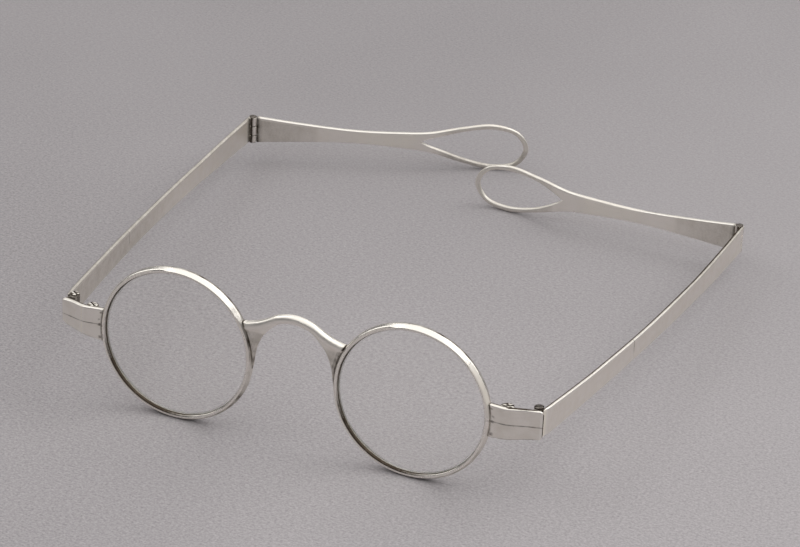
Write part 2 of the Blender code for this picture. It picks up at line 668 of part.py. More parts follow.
def stand_on_origin(root):
    """Moves the whole so that the middle of its box's underside is the origin."""
    bpy.context.view_layer.update()
    depsgraph = bpy.context.evaluated_depsgraph_get()
    low = Vector((math.inf, math.inf, math.inf))
    high = -low
    for piece in PARTS.objects:
        if piece.type != "MESH":
            continue
        shaped = piece.evaluated_get(depsgraph)
        for corner in shaped.data.vertices:
            place = shaped.matrix_world @ corner.co
            low = Vector(map(min, low, place))
            high = Vector(map(max, high, place))
    root.location = (-(low.x + high.x) / 2, -(low.y + high.y) / 2, -low.z)
    bpy.context.view_layer.update()


def shade(piece):
    piece.data.shade_smooth()
    piece.data.set_sharp_from_angle(angle=math.radians(35))


def main():
    root = empty("spectacles_root", None)
    front = empty("front_plane", root, turn=(-FRONT_TILT, 0, 0))
    make_bridge(front)
    for name, pose in SIDES.items():
        make_eye(name, pose["side"], front)
        make_end_piece(name, pose["side"], front)
        make_temple(name, front, **pose)
    for piece in PARTS.objects:
        if piece.type == "MESH":
            shade(piece)
    stand_on_origin(root)


clear_scene()
PARTS = new_collection("spectacles")
CUTTERS = new_collection("cutters")
main()
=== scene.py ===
# Old silver spectacles with hinged temple ends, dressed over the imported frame
import json
import math
import bmesh
import bpy
import numpy as np
from mathutils import Matrix, Vector


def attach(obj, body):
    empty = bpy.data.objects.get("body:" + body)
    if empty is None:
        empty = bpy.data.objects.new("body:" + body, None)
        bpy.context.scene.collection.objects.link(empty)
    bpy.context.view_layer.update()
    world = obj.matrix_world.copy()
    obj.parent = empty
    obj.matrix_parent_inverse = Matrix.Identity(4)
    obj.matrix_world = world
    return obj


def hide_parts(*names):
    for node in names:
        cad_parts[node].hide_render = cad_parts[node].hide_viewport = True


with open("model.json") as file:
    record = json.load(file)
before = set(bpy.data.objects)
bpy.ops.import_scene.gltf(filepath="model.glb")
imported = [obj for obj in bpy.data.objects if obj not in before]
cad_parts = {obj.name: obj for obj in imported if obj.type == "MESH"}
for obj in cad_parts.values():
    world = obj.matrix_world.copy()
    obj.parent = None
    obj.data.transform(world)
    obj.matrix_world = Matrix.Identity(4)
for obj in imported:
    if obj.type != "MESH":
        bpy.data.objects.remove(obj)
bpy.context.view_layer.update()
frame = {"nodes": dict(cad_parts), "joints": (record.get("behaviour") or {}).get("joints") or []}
mm = 0.001
fullTurn = 2 * math.pi
nearPoints, thinFaces = 0.002, 0.0004      # millimetres under which points merge and faces go

# Places
# Every shape below is worked out in millimetres in the frame of the part that carries it,
# with x across, y along the part or into the object, and z along the hinges.
hingeBehind, hingeOut = 4.0, 54.1          # hinges, behind and beside the middle of the rims
barLength, rearLevel = 103.0, -0.7         # rear hinges, along the bar and above its front hinge
splay = {"right": math.radians(4.9), "left": math.radians(3.5)}
turn = {"right": math.radians(93), "left": math.radians(75)}
sides = {"right": 1, "left": -1}
joints = {joint["name"]: joint for joint in frame["joints"]}


def unit(vector):
    vector = np.asarray(vector, float)
    return vector / np.linalg.norm(vector)


class Place:
    # a body with an origin in metres and three axes, to carry millimetres into the scene and back
    def __init__(self, body, origin, across, along, up):
        self.body, self.origin = body, np.asarray(origin, float)
        self.axes = np.array([across, along, up], float)

    def out(self, points):
        return self.origin + mm * (np.asarray(points, float) @ self.axes)

    def back(self, points):
        return ((np.asarray(points, float) - self.origin) @ self.axes.T) / mm


hingeUp = unit(joints["right_temple_hinge"]["axis"])
faceBack = unit(np.cross(hingeUp, (1, 0, 0)))
rightHinge, leftHinge = (np.array(joints[side + "_temple_hinge"]["pos_m"]) for side in sides)
middle = (rightHinge + leftHinge) / 2 - faceBack * hingeBehind * mm
front = Place("front", middle, (1, 0, 0), faceBack, hingeUp)


def turnedPlace(body, origin, sign, angle):
    # along is the front's own back direction, turned outward by the angle
    along = faceBack * math.cos(angle) + np.array([sign * math.sin(angle), 0, 0])
    return Place(body, origin, np.cross(along, hingeUp), along, hingeUp)


barPlace, tipPlace = {}, {}
for side, sign in sides.items():
    hinge = front.out((sign * hingeOut, hingeBehind, 0))
    barPlace[side] = turnedPlace(side + "_temple", hinge, sign, splay[side])
    rear = barPlace[side].out((0, barLength, rearLevel))
    tipPlace[side] = turnedPlace(side + "_tip", rear, sign, splay[side] - turn[side])
print("places ready")


# Mesh tools
def gridFaces(rows, columns, closed, first):
    # quads between neighbouring rows and columns, going round each row where it is closed
    row = np.arange(rows - 1)[:, None] * columns + first
    column = np.arange(columns if closed else columns - 1)
    after = (column + 1) % columns
    corners = joined(row + column, row + after, row + columns + after, row + columns + column)
    return corners.reshape(-1, 4).tolist()


def joined(*parts):
    # numbers of every size brought to one size and set side by side, such as x, y and z
    return np.stack(np.broadcast_arrays(*parts), -1)


def smoothStep(value):
    # 3 v squared - 2 v cubed, flat at 0 and at 1
    value = np.clip(value, 0.0, 1.0)
    return value * value * (3 - 2 * value)


def ramp(value, start, span):
    # eased from 0 at the start to 1 a span further, or to 1 below the start where the span is negative
    return smoothStep((value - start) / span)


def bell(value, middle, width, power=2):
    # exp of minus the distance over the width, raised to the power
    return np.exp(-((value - middle) / width) ** power)


def pick(line, run, wanted):
    return joined(*(np.interp(wanted, run, line[:, axis]) for axis in (0, 1)))


def evenSteps(line, count):
    # points at even steps of the line's own length
    run = np.concatenate([[0], np.cumsum(np.linalg.norm(np.diff(line, axis=0), axis=1))])
    return pick(line, run, np.linspace(0, 1, count) * run[-1])


def sideways(line):
    # unit vectors square to the line, to its left
    way = np.gradient(line, axis=0)
    way /= np.linalg.norm(way, axis=1)[:, None]
    return joined(-way[:, 1], way[:, 0])


def spline(keys, count):
    # cubic curve through the keys, with their mean slopes, at even steps of its own length
    keys = np.asarray(keys, float)
    apart = np.linalg.norm(np.diff(keys, axis=0), axis=1) > 1e-6
    keys = keys[np.concatenate([[True], apart])]
    knots = np.concatenate([[0], np.cumsum(np.linalg.norm(np.diff(keys, axis=0), axis=1) ** 0.7)])
    slopes = np.gradient(keys, knots, axis=0)
    fine = np.linspace(0, knots[-1], 3000)
    index = np.clip(np.searchsorted(knots, fine, side="right") - 1, 0, len(knots) - 2)
    width = (knots[index + 1] - knots[index])[:, None]
    t = (fine - knots[index])[:, None] / width
    curve = ((2 * t ** 3 - 3 * t ** 2 + 1) * keys[index] + (t ** 3 - 2 * t ** 2 + t) * width * slopes[index]
             + (3 * t ** 2 - 2 * t ** 3) * keys[index + 1] + (t ** 3 - t ** 2) * width * slopes[index + 1])
    return evenSteps(curve, count)


def quarterRun(start, end, rounding, between):
    # places along a run whose two ends are rounded over, and how far the section draws in at each
    bend = np.linspace(0, math.pi / 2, 5)
    reach, inset = rounding * (1 - np.cos(bend)), rounding * (1 - np.sin(bend))
    inner = between[(between > start + rounding * 1.05) & (between < end - rounding * 1.05)]
    along = np.concatenate([start + reach, inner, (end - reach)[::-1]])
    drawn = np.concatenate([inset, np.zeros(len(inner)), inset[::-1]])
    return along, drawn


def sectionPlan(cornerSteps, tallSteps):
    # a rounded rectangle as rows of corner sign x, corner sign z, cosine and sine, with spare points
    # on its tall sides; the last tall side closes the loop
    rows = []
    for index, (signX, signZ) in enumerate(((1, 1), (-1, 1), (-1, -1), (1, -1))):
        for bend in np.radians(np.linspace(90 * index, 90 * index + 90, cornerSteps)):
            rows.append((signX, signZ, math.cos(bend), math.sin(bend)))
        if index in (1, 3):
            rows += [(signX, level, signX, 0) for level in np.linspace(signZ, -signZ, tallSteps + 2)[1:-1]]
    return np.array(rows, float).T


def sweep(section, centre, halfWide, halfTall, corner, drawn, side=1):
    # the rounded rectangle carried along the centre points: x and z are each the corner's sign times
    # (half - corner radius), plus the corner radius times the cosine or sine
    signX, signZ, cosine, sine = section
    halfWide, halfTall, corner, drawn = [np.broadcast_to(np.asarray(value, float), len(centre))[:, None]
                                         for value in (halfWide, halfTall, corner, drawn)]
    wide, tall = halfWide - drawn, halfTall - drawn
    radius = np.clip(np.minimum(corner - drawn * 0.6, np.minimum(wide, tall)), 0.01, None)
    across, up = signX * (wide - radius) + radius * cosine, signZ * (tall - radius) + radius * sine
    return centre[:, None, :] + joined(side * across, 0, up)


def barrel(radius, low, high, centre, rounding=0.14, segments=48):
    # radius against height from the lower pole to the upper, with both rims rounded over by a quarter
    # circle, turned once round the vertical through the centre
    bend = np.linspace(0, math.pi / 2, 5)
    inner = radius - rounding
    rise = joined(inner + rounding * np.sin(bend), low + rounding * (1 - np.cos(bend)))
    fall = joined(inner + rounding * np.cos(bend), high - rounding * (1 - np.sin(bend)))
    profile = np.concatenate([[(0, low), (radius * 0.5, low)], rise, fall, [(radius * 0.5, high), (0, high)]])
    out, height = profile[:, :1], profile[:, 1:]
    angle = np.linspace(0, fullTurn, segments, endpoint=False)
    return joined(centre[0] + out * np.cos(angle), centre[1] + out * np.sin(angle), height), True, False


def addPiece(name, shells, place, material, nodes=(), soil=None, spot=None, sharpAngle=38):
    # shells is a list of (points, rows closed, ends capped); doubles are merged and faces turned outwards
    points, faces, count = [], [], 0
    for grid, closed, capped in shells:
        rows, columns = grid.shape[:2]
        faces += gridFaces(rows, columns, closed, count)
        if capped:
            faces += [list(range(first, first + columns)) for first in (count, count + (rows - 1) * columns)]
        points.append(grid.reshape(-1, 3))
        count += rows * columns
    mesh = bpy.data.meshes.new(name)
    mesh.from_pydata(place.out(np.concatenate(points)).tolist(), [], faces)
    work = bmesh.new()
    work.from_mesh(mesh)
    bmesh.ops.remove_doubles(work, verts=work.verts[:], dist=nearPoints * mm)
    bmesh.ops.dissolve_degenerate(work, edges=work.edges[:], dist=thinFaces * mm)
    bmesh.ops.recalc_face_normals(work, faces=work.faces[:])
    work.to_mesh(mesh)
    work.free()
    mesh.shade_smooth()
    mesh.set_sharp_from_angle(angle=math.radians(sharpAngle))
    local = localPoints(mesh, place)
    # soil gives tarnish together with painted shade (positive) and painted highlights (negative), kept on
    # every point
    tarnishAndShade = np.zeros(len(local)) if soil is None else np.clip(soil(local), -1, 1)
    mesh.attributes.new("tarnishShadeAndSheen", "FLOAT", "POINT").data.foreach_set("value", tarnishAndShade.astype(np.float32))
    spots = (local if spot is None else spot(local)).astype(np.float32).ravel()
    mesh.attributes.new("spot", "FLOAT_VECTOR", "POINT").data.foreach_set("vector", spots)
    mesh.materials.append(material)
    piece, body = bpy.data.objects.new(name, mesh), place.body
    bpy.context.scene.collection.objects.link(piece)
    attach(piece, body)
    if nodes:
        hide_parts(*nodes)


def localPoints(mesh, place):
    found = np.empty(len(mesh.vertices) * 3, np.float32)
    mesh.vertices.foreach_get("co", found)
    return place.back(found.reshape(-1, 3))


# Finishes
def operator(kind, isSwapped=False):
    def apply(self, other):
        first, second = (other, self) if isSwapped else (self, other)
        return self.recipe.maths(kind, first, second)
    return apply


class Flow:
    # a shader socket that takes part in plain arithmetic, each operator adding one Math node
    def __init__(self, recipe, socket):
        self.recipe, self.socket = recipe, socket

    __add__ = __radd__ = operator("ADD")
    __mul__ = __rmul__ = operator("MULTIPLY")
    __sub__, __rsub__ = operator("SUBTRACT"), operator("SUBTRACT", True)
    __truediv__ = operator("DIVIDE")

    def held(self):
        return self.recipe.maths("ADD", self, 0.0, hold=True)

    def above(self, low, high):
        # 0 below low, 1 over high, straight between
        return ((self - low) * (1.0 / (high - low))).held()


class Recipe:
    # one material or world and the nodes in it
    def __init__(self, name, owner=None):
        self.material = owner or bpy.data.materials.new(name)
        self.material.use_nodes = True
        self.tree = self.material.node_tree
        self.tree.nodes.clear()

    def node(self, kind, settings=None, sockets=None, output=0):
        step = self.tree.nodes.new(kind)
        for key, value in (settings or {}).items():
            setattr(step, key, value)
        for key, value in (sockets or {}).items():
            if isinstance(value, Flow):
                self.tree.links.new(value.socket, step.inputs[key])
            else:
                step.inputs[key].default_value = value
        return Flow(self, step.outputs[output]) if len(step.outputs) else None

    def maths(self, operation, first, second, hold=False):
        return self.node("ShaderNodeMath", {"operation": operation, "use_clamp": hold}, {0: first, 1: second})

    def blend(self, factor, first, second):
        # colour from first to second
        return self.node("ShaderNodeMix", {"data_type": "RGBA"}, {0: factor, 6: first, 7: second}, 2)

    def noise(self, vector, scale, detail=3.0, rough=0.55):
        return self.node("ShaderNodeTexNoise", {"noise_dimensions": "3D"},
                         {"Vector": vector, "Scale": scale, "Detail": detail, "Roughness": rough})

    def stretched(self, vector, scale, turned=(0, 0, 0)):
        return self.node("ShaderNodeMapping", {}, {"Vector": vector, "Scale": scale, "Rotation": turned})

    def bump(self, height, depth, strength=1.0, normal=None):
        # depth is in millimetres
        sockets = {"Height": height, "Distance": depth * mm, "Strength": strength}
        if normal is not None:
            sockets["Normal"] = normal
        return self.node("ShaderNodeBump", {}, sockets)

    def attributes(self):
        # the place on the part in millimetres, and how tarnished or polished it is, a number that also
        # carries painted shade where positive and painted highlights where negative
        return [self.node("ShaderNodeAttribute", {"attribute_name": name}, output=output)
                for name, output in (("spot", 1), ("tarnishShadeAndSheen", 2))]

    def surface(self, sockets):
        return self.node("ShaderNodeBsdfPrincipled", {}, sockets)

    def finish(self, shader):
        self.node("ShaderNodeOutputMaterial", {}, {"Surface": shader})
        return self.material


silverLook = {
    "bright": (0.965, 0.925, 0.865, 1),    # clean metal, slightly warm
    "dull": (0.845, 0.79, 0.70, 1),        # handled metal
    "tarnishAndShade": (0.085, 0.066, 0.050, 1),      # brown-black tarnish in corners, also the colour of painted shade
    "roughMore": 0.30,                     # added where the surface is cloudy
    "dullShare": 0.45,
    "wavy": 0.054, "scratched": 0.004,     # depths in millimetres
}
steelLook = {"worn": (0.42, 0.39, 0.35, 1), "rusty": (0.050, 0.037, 0.031, 1), "rough": 0.3, "gritty": 0.02}
glassLook = {
    "clear": (0.985, 0.985, 0.98, 1), "dusty": (0.50, 0.47, 0.43, 1), "shade": (0.93, 0.93, 0.92, 1),
    "rough": 0.015, "ripple": 0.02, "index": 1.5,
}


def silverRecipe(name, grain, dull=1.0, roughness=0.40, pitted=1.0):
    # silver worn by handling: fine scratches along the part, cloudy dull patches, black in the corners; the
    # tarnish number also carries painted shade, and its negative is polish and painted highlights, whose
    # strongest part is frosted
    recipe = Recipe(name)
    spot, tarnishShadeAndSheen = recipe.attributes()
    soil, polishAndSheen = tarnishShadeAndSheen.held(), (tarnishShadeAndSheen * -1.0).held()
    frosted = polishAndSheen.above(0.7, 1.0)
    cloud = recipe.noise(spot, 0.42, 4.0, 0.6)
    smallCloud = recipe.noise(spot, 2.1, 3.0, 0.6)
    crossGrain = (grain[0], grain[1] * 3, grain[2])
    scratch = recipe.noise(recipe.stretched(spot, grain), 1.0, 4.0, 0.7)
    crossScratch = recipe.noise(recipe.stretched(spot, crossGrain, (0.5, 0.35, 0.2)), 0.8, 3.0, 0.7)
    pits = recipe.noise(spot, 5.5, 2.0, 0.5).above(0.66, 0.74) * (0.55 * pitted)
    tarnishAndShade = (soil * 1.35 + (smallCloud - 0.5) * 1.3 * soil + (soil * 2.0).held() * (cloud - 0.5) * 0.6
            + pits * (0.25 + soil)).held()
    worn = (cloud.above(0.35, 0.72) * silverLook["dullShare"] * dull + scratch.above(0.45, 0.8) * 0.16
            + soil * 0.35 - polishAndSheen).held()
    # the colour is lightened by polish and painted highlights and darkened by tarnish and painted shade
    colour = recipe.blend(worn, silverLook["bright"], silverLook["dull"])
    colour = recipe.blend(tarnishAndShade, colour, silverLook["tarnishAndShade"])
    rough = (roughness + (cloud - 0.5) * silverLook["roughMore"] + (scratch - 0.5) * 0.12 + tarnishAndShade * 0.3
             - polishAndSheen * 0.12 + frosted * 0.55).held()
    wavy = recipe.bump(recipe.noise(spot, 0.55, 2.0, 0.5), silverLook["wavy"])
    marks = scratch * 0.7 + crossScratch * 0.3 - tarnishAndShade * 0.5
    marked = recipe.bump(marks, silverLook["scratched"], normal=wavy)
    return recipe.finish(recipe.surface(
        {"Base Color": colour, "Metallic": 1.0, "Roughness": rough, "Normal": marked}))


def steelRecipe(name):
    # small old steel screws and rivets, rusted dark brown, a little worn where the rust is thin
    recipe = Recipe(name)
    spot, soil = recipe.attributes()
    cloud = recipe.noise(spot, 1.6, 4.0, 0.6)
    grit = recipe.noise(spot, 6.0, 3.0, 0.6)
    rust = (cloud.above(0.25, 0.55) * 0.8 + grit.above(0.5, 0.7) * 0.3 + soil).held()
    colour = recipe.blend(rust, steelLook["worn"], steelLook["rusty"])
    rough = (steelLook["rough"] + rust * 0.25 + (grit - 0.5) * 0.2).held()
    uneven = recipe.bump(grit + cloud, steelLook["gritty"])
    return recipe.finish(recipe.surface(
        {"Base Color": colour, "Metallic": 1.0, "Roughness": rough, "Normal": uneven}))


def glassRecipe(name):
    # clear old glass with a faint film, which lets the light through to the floor
    recipe = Recipe(name)
    spot, soil = recipe.attributes()
    film = recipe.noise(spot, 0.12, 4.0, 0.6).above(0.45, 0.8)
    smear = recipe.noise(recipe.stretched(spot, (0.2, 1.0, 0.9), (0, 0.6, 0)), 0.5, 4.0, 0.6).above(0.5, 0.8)
    rough = (glassLook["rough"] + film * 0.03 + smear * 0.03 + soil * 0.7).held()
    colour = recipe.blend((film * 0.05 + soil).held(), glassLook["clear"], glassLook["dusty"])
    ripple = recipe.bump(recipe.noise(spot, 0.08, 1.0, 0.4), glassLook["ripple"])
    glass = recipe.surface({"Base Color": colour, "Roughness": rough, "IOR": glassLook["index"],
                            "Transmission Weight": 1.0, "Normal": ripple})
    clear = recipe.node("ShaderNodeBsdfTransparent", {}, {"Color": glassLook["shade"]})
    shadow = recipe.node("ShaderNodeLightPath", output=1)
    return recipe.finish(recipe.node("ShaderNodeMixShader", {}, {0: shadow, 1: glass, 2: clear}))


rimSilver = silverRecipe("rimSilver", (0.35, 9.0, 9.0), 0.7, 0.30)
bridgeSilver = silverRecipe("bridgeSilver", (1.2, 9.0, 2.2), 1.0, 0.46, 1.3)
plateSilver = silverRecipe("plateSilver", (0.5, 0.5, 7.0))
barSilver = silverRecipe("barSilver", (9.0, 0.3, 6.0), 0.9)
tipSilver = silverRecipe("tipSilver", (9.0, 0.3, 6.0), 0.7)
barrelSilver = silverRecipe("barrelSilver", (5.0, 5.0, 0.8), 0.6, 0.24)
hingeSilver = silverRecipe("hingeSilver", (5.0, 5.0, 1.0), 1.3, pitted=1.6)
darkSteel = steelRecipe("darkSteel")
lensGlass = glassRecipe("lensGlass")
print("finishes ready")


def soilShadeAndSheen(tarnishAndShade, polishAndSheen):
    # darkening marks, tarnish and painted shade, are positive; brightening marks, polish and painted
    # highlights, are negative, and the brightening gives way to the darkening
    tarnishAndShade = np.maximum.reduce(tarnishAndShade)
    return tarnishAndShade - np.maximum.reduce(polishAndSheen) * (1 - smoothStep(tarnishAndShade / 0.3))


# Rims and lenses
rim = {
    "centre": 27.35, "radius": 17.25, "outerThick": 0.62, "innerThick": 0.55,
    "frontDeep": 1.2, "backDeep": 0.95, "square": 0.74, "lipHalf": 0.60, "lipSquare": 0.57,
    "grooveHalf": 0.44, "grooveDeep": 0.42, "grooveEdge": 0.03, "slitLevel": 0.3, "slit": 0.06,
    "waviness": 0.05, "thinned": 0.035,      # how far the wire wanders, and its share of thinner places
    # degrees from which to which the file went, eased in and out, and the shares left by it and without it
    "filed": {1: (9, 107), -1: (28, 100)}, "filedEase": (12, 2), "filedShare": 1.10, "unfiledShare": 1.56,
}
slitAngle = math.asin(rim["slitLevel"] / rim["radius"])
# where the rims are soiled or polished, with painted shade (below, lower) and painted highlights (edge, flat)
# among them: degrees seen from the front, spread, strength
rimMarks = {
    "below": (272, 26, 0.75), "lower": (320, 26, 0.6), "behind": (64, 48, 0.72), "lip": (150, 34, 0.7),
    "left": (200, 45, 0.35), "face": (236, 46, 0.85), "edge": (285, 50, 1.0), "flat": (75, 50, 0.25),
}


def rimProfile():
    # radius against depth: a squarish half ellipse outside, deeper in front than behind, squarish lips
    # inside and a V groove between them
    r, thick, half, soft = rim["radius"], rim["innerThick"], rim["lipHalf"], rim["grooveEdge"]
    bend = np.linspace(-math.pi / 2, math.pi / 2, 37)
    deep = np.where(bend < 0, rim["frontDeep"], rim["backDeep"])
    outer = joined(r + rim["outerThick"] * np.clip(np.cos(bend), 0, 1) ** rim["square"],
                   deep * np.sign(bend) * np.abs(np.sin(bend)) ** rim["square"])
    fall = np.linspace(0, math.pi / 2, 11)[1:]
    edge = np.array([(r - thick + soft / 6, rim["grooveHalf"] + soft), (r - thick + soft, rim["grooveHalf"])])
    lips = []
    for deep in (rim["backDeep"], rim["frontDeep"]):
        lip = joined(r - thick * np.sin(fall) ** rim["lipSquare"],
                     half + (deep - half) * np.clip(np.cos(fall), 0, 1) ** rim["lipSquare"])
        lips.append(np.concatenate([lip, edge]))
    root = np.array([(r - thick + rim["grooveDeep"], soft), (r - thick + rim["grooveDeep"], -soft)])
    return np.concatenate([outer, lips[0], root, lips[1][::-1] * (1, -1)])


def seenAngle(angle, sign):
    # degrees round the rim as seen from the front, 0 at the right and 90 at the top
    return np.mod(np.degrees(np.where(sign > 0, angle, math.pi - angle)), 360)


def rimWave(angle, sign):
    # the ring is bent by hand, so its radius wanders a little
    return rim["waviness"] * (0.5 * np.cos(2 * angle + sign) + 0.3 * np.cos(3 * angle + 1.7 * sign)
                              + 0.2 * np.cos(7 * angle) - 0.5)


def rimShell(sign):
    # the profile carried round the rim's centre, open at the slit; on top, what stands beyond the file's
    # flat, where radius share + depth share is over a limit, is pulled back onto it
    gap = rim["slit"] / 2 / rim["radius"]
    angle = np.linspace(slitAngle + gap, slitAngle + fullTurn - gap, 361)[:, None]
    profile = rimProfile()
    out, depth = profile[None, :, 0] - rim["radius"], profile[None, :, 1]
    seen = seenAngle(angle, sign)
    (first, last), (easeIn, easeOut) = rim["filed"][sign], rim["filedEase"]
    filed = ramp(seen, first, easeIn) * ramp(seen, last, -easeOut)
    limit = rim["unfiledShare"] + (rim["filedShare"] - rim["unfiledShare"]) * filed
    share = np.clip(out, 0, None) / rim["outerThick"] + np.clip(-depth, 0, None) / rim["frontDeep"]
    pull = np.where((out > 0) & (depth < 0), np.minimum(1, limit / np.maximum(share, 0.01)), 1)
    thin = 1 - rim["thinned"] * (1 + np.cos(5 * angle + 2.1 * sign)) / 2
    radius = rim["radius"] + rimWave(angle, sign) + out * thin * pull
    x = sign * (rim["centre"] + radius * np.cos(angle))
    return joined(x, depth * thin * pull, radius * np.sin(angle)), True, True


def aroundRim(local):
    # angle from the slit on, radius and side
    x = np.abs(local[:, 0]) - rim["centre"]
    angle = np.mod(np.arctan2(local[:, 2], x) - slitAngle, fullTurn) + slitAngle
    return angle, np.hypot(x, local[:, 2]), np.where(local[:, 0] > 0, 1, -1)


def rimSpot(local):
    angle, radius, sign = aroundRim(local)
    return joined(angle * rim["radius"], local[:, 1] * 1.4, radius * 1.4 + sign * 40)


def rimSoilAndShading(local):
    # dark in the groove, on the inner walls, at the slit and where the bridge is soldered on; painted shade
    # underneath and at the lower right; painted highlights on the front lip's lower edge, the filed flat, a
    # band at the upper left and beside the right end piece, frosted where strongest
    angle, radius, sign = aroundRim(local)
    out = radius - rimWave(angle, sign) - rim["radius"]
    seen, depth = seenAngle(angle, sign), local[:, 1]
    patchy = 0.7 + 0.3 * np.sin(angle * 23 + sign) * np.sin(angle * 9)
    away = np.minimum(angle - slitAngle, slitAngle + fullTurn - angle) * rim["radius"]

    def mark(name, power=2):
        middle, spread, strength = rimMarks[name]
        return bell(seen, middle, spread, power) * strength
    inside = ramp(out, -0.49, -0.04) * 0.9
    groove = ramp(np.abs(depth), 0.5, -0.05) * ramp(out, -0.1, -0.2)
    slit = bell(away, 0, 0.13) * 0.35 * ramp(out, 0.1, 0.2)
    solder = bell(np.degrees(angle), 165, 15) * ramp(out, 0.1, 0.3) * 0.7 * patchy
    # painted shade: the outer surface underneath and at the lower right, darkened as if it mirrored the
    # shaded floor
    below = mark("below") * ramp(out, 0.25, 0.25) * patchy
    lower = mark("lower") * ramp(out, -0.1, 0.3) * np.where(sign > 0, 0.5, 1.0) * patchy
    behind = mark("behind", 4) * ramp(depth, -0.1, 0.25) * ramp(out, 0.1, 0.2) * patchy
    lip = mark("lip") * ramp(out, -0.30, -0.08) * (depth < 0)
    left = mark("left") * ramp(out, 0.25, 0.2) * patchy
    face = mark("face", 4) * ramp(out, -0.06, -0.12) * (depth < 0)
    # painted highlights: the front lip's lower edge, the filed flat, a band at the upper left and a patch
    # beside the right end piece
    edge = mark("edge") * ramp(np.abs(out + 0.2), 0.3, -0.1) * (depth < -0.8)
    flat = mark("flat") * ramp(out, -0.35, 0.2) * (depth < 0.2)
    band = ramp(np.abs(out - 0.05), 0.30, -0.12) * (depth < -0.5) * ramp(seen, 104, 6) * ramp(seen, 205, -30)
    beside = (sign > 0) * bell(np.mod(seen + 180, 360), 203, 24, 8) * (depth < 0.3) * ramp(out, -0.3, 0.2)
    return soilShadeAndSheen([inside, groove, slit, solder, below, lower, behind, lip, left, face],
                  [part * (out > -0.47) for part in (edge, flat, band, beside)])


lens = {"edge": 16.93, "sharp": 0.02, "shoulder": 16.38, "shoulderHalf": 0.45, "middleHalf": 0.80,
        "dustFrom": 16.4}


def lensShell(sign):
    # half thickness falls as the square of the radius, then bevels to a sharp edge
    radius = np.append(np.linspace(0, lens["shoulder"], 27), lens["edge"] - lens["sharp"])
    fall = 1 - (radius / lens["shoulder"]) ** 2
    half = lens["shoulderHalf"] + (lens["middleHalf"] - lens["shoulderHalf"]) * fall
    half[-1] = lens["sharp"]
    radius = np.concatenate([radius, radius[::-1]])[:, None]
    depth = np.concatenate([-half, half[::-1]])[:, None]
    angle = np.linspace(0, fullTurn, 128, endpoint=False)[None, :]
    return joined(sign * rim["centre"] + radius * np.cos(angle), depth, radius * np.sin(angle)), True, False


def lensSoil(local):
    return ramp(np.hypot(np.abs(local[:, 0]) - rim["centre"], local[:, 2]), lens["dustFrom"], 0.2)


for side, sign in sides.items():
    addPiece("silver_rim_" + side, [rimShell(sign)], front, rimSilver,
             [side + "_rim"], rimSoilAndShading, rimSpot)
    addPiece("glass_" + side, [lensShell(sign)], front, lensGlass,
             [side + "_lens"], lensSoil, sharpAngle=25)
print("rims and lenses ready")

# Bridge
bridge = {
    "wireHalf": 1.05, "footHalf": 0.78, "footRound": 0.55, "rimTouch": 17.72,
    "arch": [(0, 12.28), (3.75, 11.5), (6.1, 10.15), (8.2, 9.12), (10.9, 8.25)],
    "footInner": [(4.1, 10.1), (5.3, 9.05), (6.5, 7.75), (7.4, 6.5), (8.15, 4.9), (8.7, 3.2), (9.05, 1.2),
                  (9.3, -0.8)],
    "tail": {1: -4.6, -1: -2.4}, "tailInner": {1: [(9.55, -2.8)], -1: []},
    # the foot's share of thickness at its tail, the height over which it thickens, where the foot begins
    "tailShare": 0.62, "tailSpan": 7.0, "footFrom": 2.2, "footSpan": 3.0,
    # shares of length along the two edges that face each other, so that the foot's rows run across it
    "rows": [0, 0.30, 0.52, 1], "upperRun": [0, 0.35, 0.60, 1], "lowerRun": [0, 0.28, 0.50, 1],
}


def bridgeHalf(sign, arch):
    # two edge curves, over the arch and under it with its feet, joined by a section that swells to
    # the round wire near the arch line and to a flat foot below it, rounded over at both edges
    half, tail, touch = bridge["wireHalf"], bridge["tail"][sign], bridge["rimTouch"]
    right = arch[arch[:, 0] > -0.001]      # with the arch's middle point, however it is rounded
    normal = sideways(right)
    upperArch, lowerArch = right + normal * half, right - normal * half
    upperArch = upperArch[np.hypot(upperArch[:, 0] - rim["centre"], upperArch[:, 1]) > touch - 0.05]
    level = np.linspace(upperArch[-1, 1], tail, 120)[1:]
    rimSide = joined(rim["centre"] - np.sqrt(touch ** 2 - level ** 2), level)
    underArch = lowerArch[lowerArch[:, 0] < 3.3][::12]
    footInner = bridge["footInner"] + bridge["tailInner"][sign]
    upper = spline(np.concatenate([upperArch[::8], upperArch[-1:], rimSide[::6], rimSide[-1:]]), 160)
    lower = spline(np.concatenate([underArch, footInner, rimSide[-1:]]), 160)
    share, run = np.linspace(0, 1, 150), np.linspace(0, 1, 160)
    upper = pick(upper, run, np.interp(share, bridge["rows"], bridge["upperRun"]))
    lower = pick(lower, run, np.interp(share, bridge["rows"], bridge["lowerRun"]))
    across = (1 - np.cos(np.linspace(0, math.pi, 25))) / 2
    spot = upper[:, None, :] + across[None, :, None] * (lower - upper)[:, None, :]
    width = np.linalg.norm(lower - upper, axis=1)[:, None]
    near = np.sqrt(((spot[:, :, None, :] - arch[None, None, ::4, :]) ** 2).sum(-1)).min(-1)
    wire = np.sqrt(np.clip(half ** 2 - near ** 2, 0, None))
    margin = np.minimum(across * width, (1 - across) * width)
    rounded = np.sqrt(np.clip(1 - (1 - np.clip(margin / bridge["footRound"], 0, 1)) ** 2, 0, 1))
    thin = bridge["tailShare"] + (1 - bridge["tailShare"]) * ramp(spot[..., 1], tail, bridge["tailSpan"])
    begun = ramp(np.abs(spot[..., 0]), bridge["footFrom"], bridge["footSpan"])
    foot = bridge["footHalf"] * thin * rounded * begun
    swell = (wire ** 5 + foot ** 5) ** 0.2
    swell[:, 0] = swell[:, -1] = 0
    return [(joined(sign * spot[..., 0], way * swell, spot[..., 1]), False, False) for way in (-1, 1)]


def rimGap(x, z):
    # how far a point of the front stands off the rims' outer edge
    return np.hypot(np.abs(x) - rim["centre"], z) - rim["radius"] - rim["outerThick"]


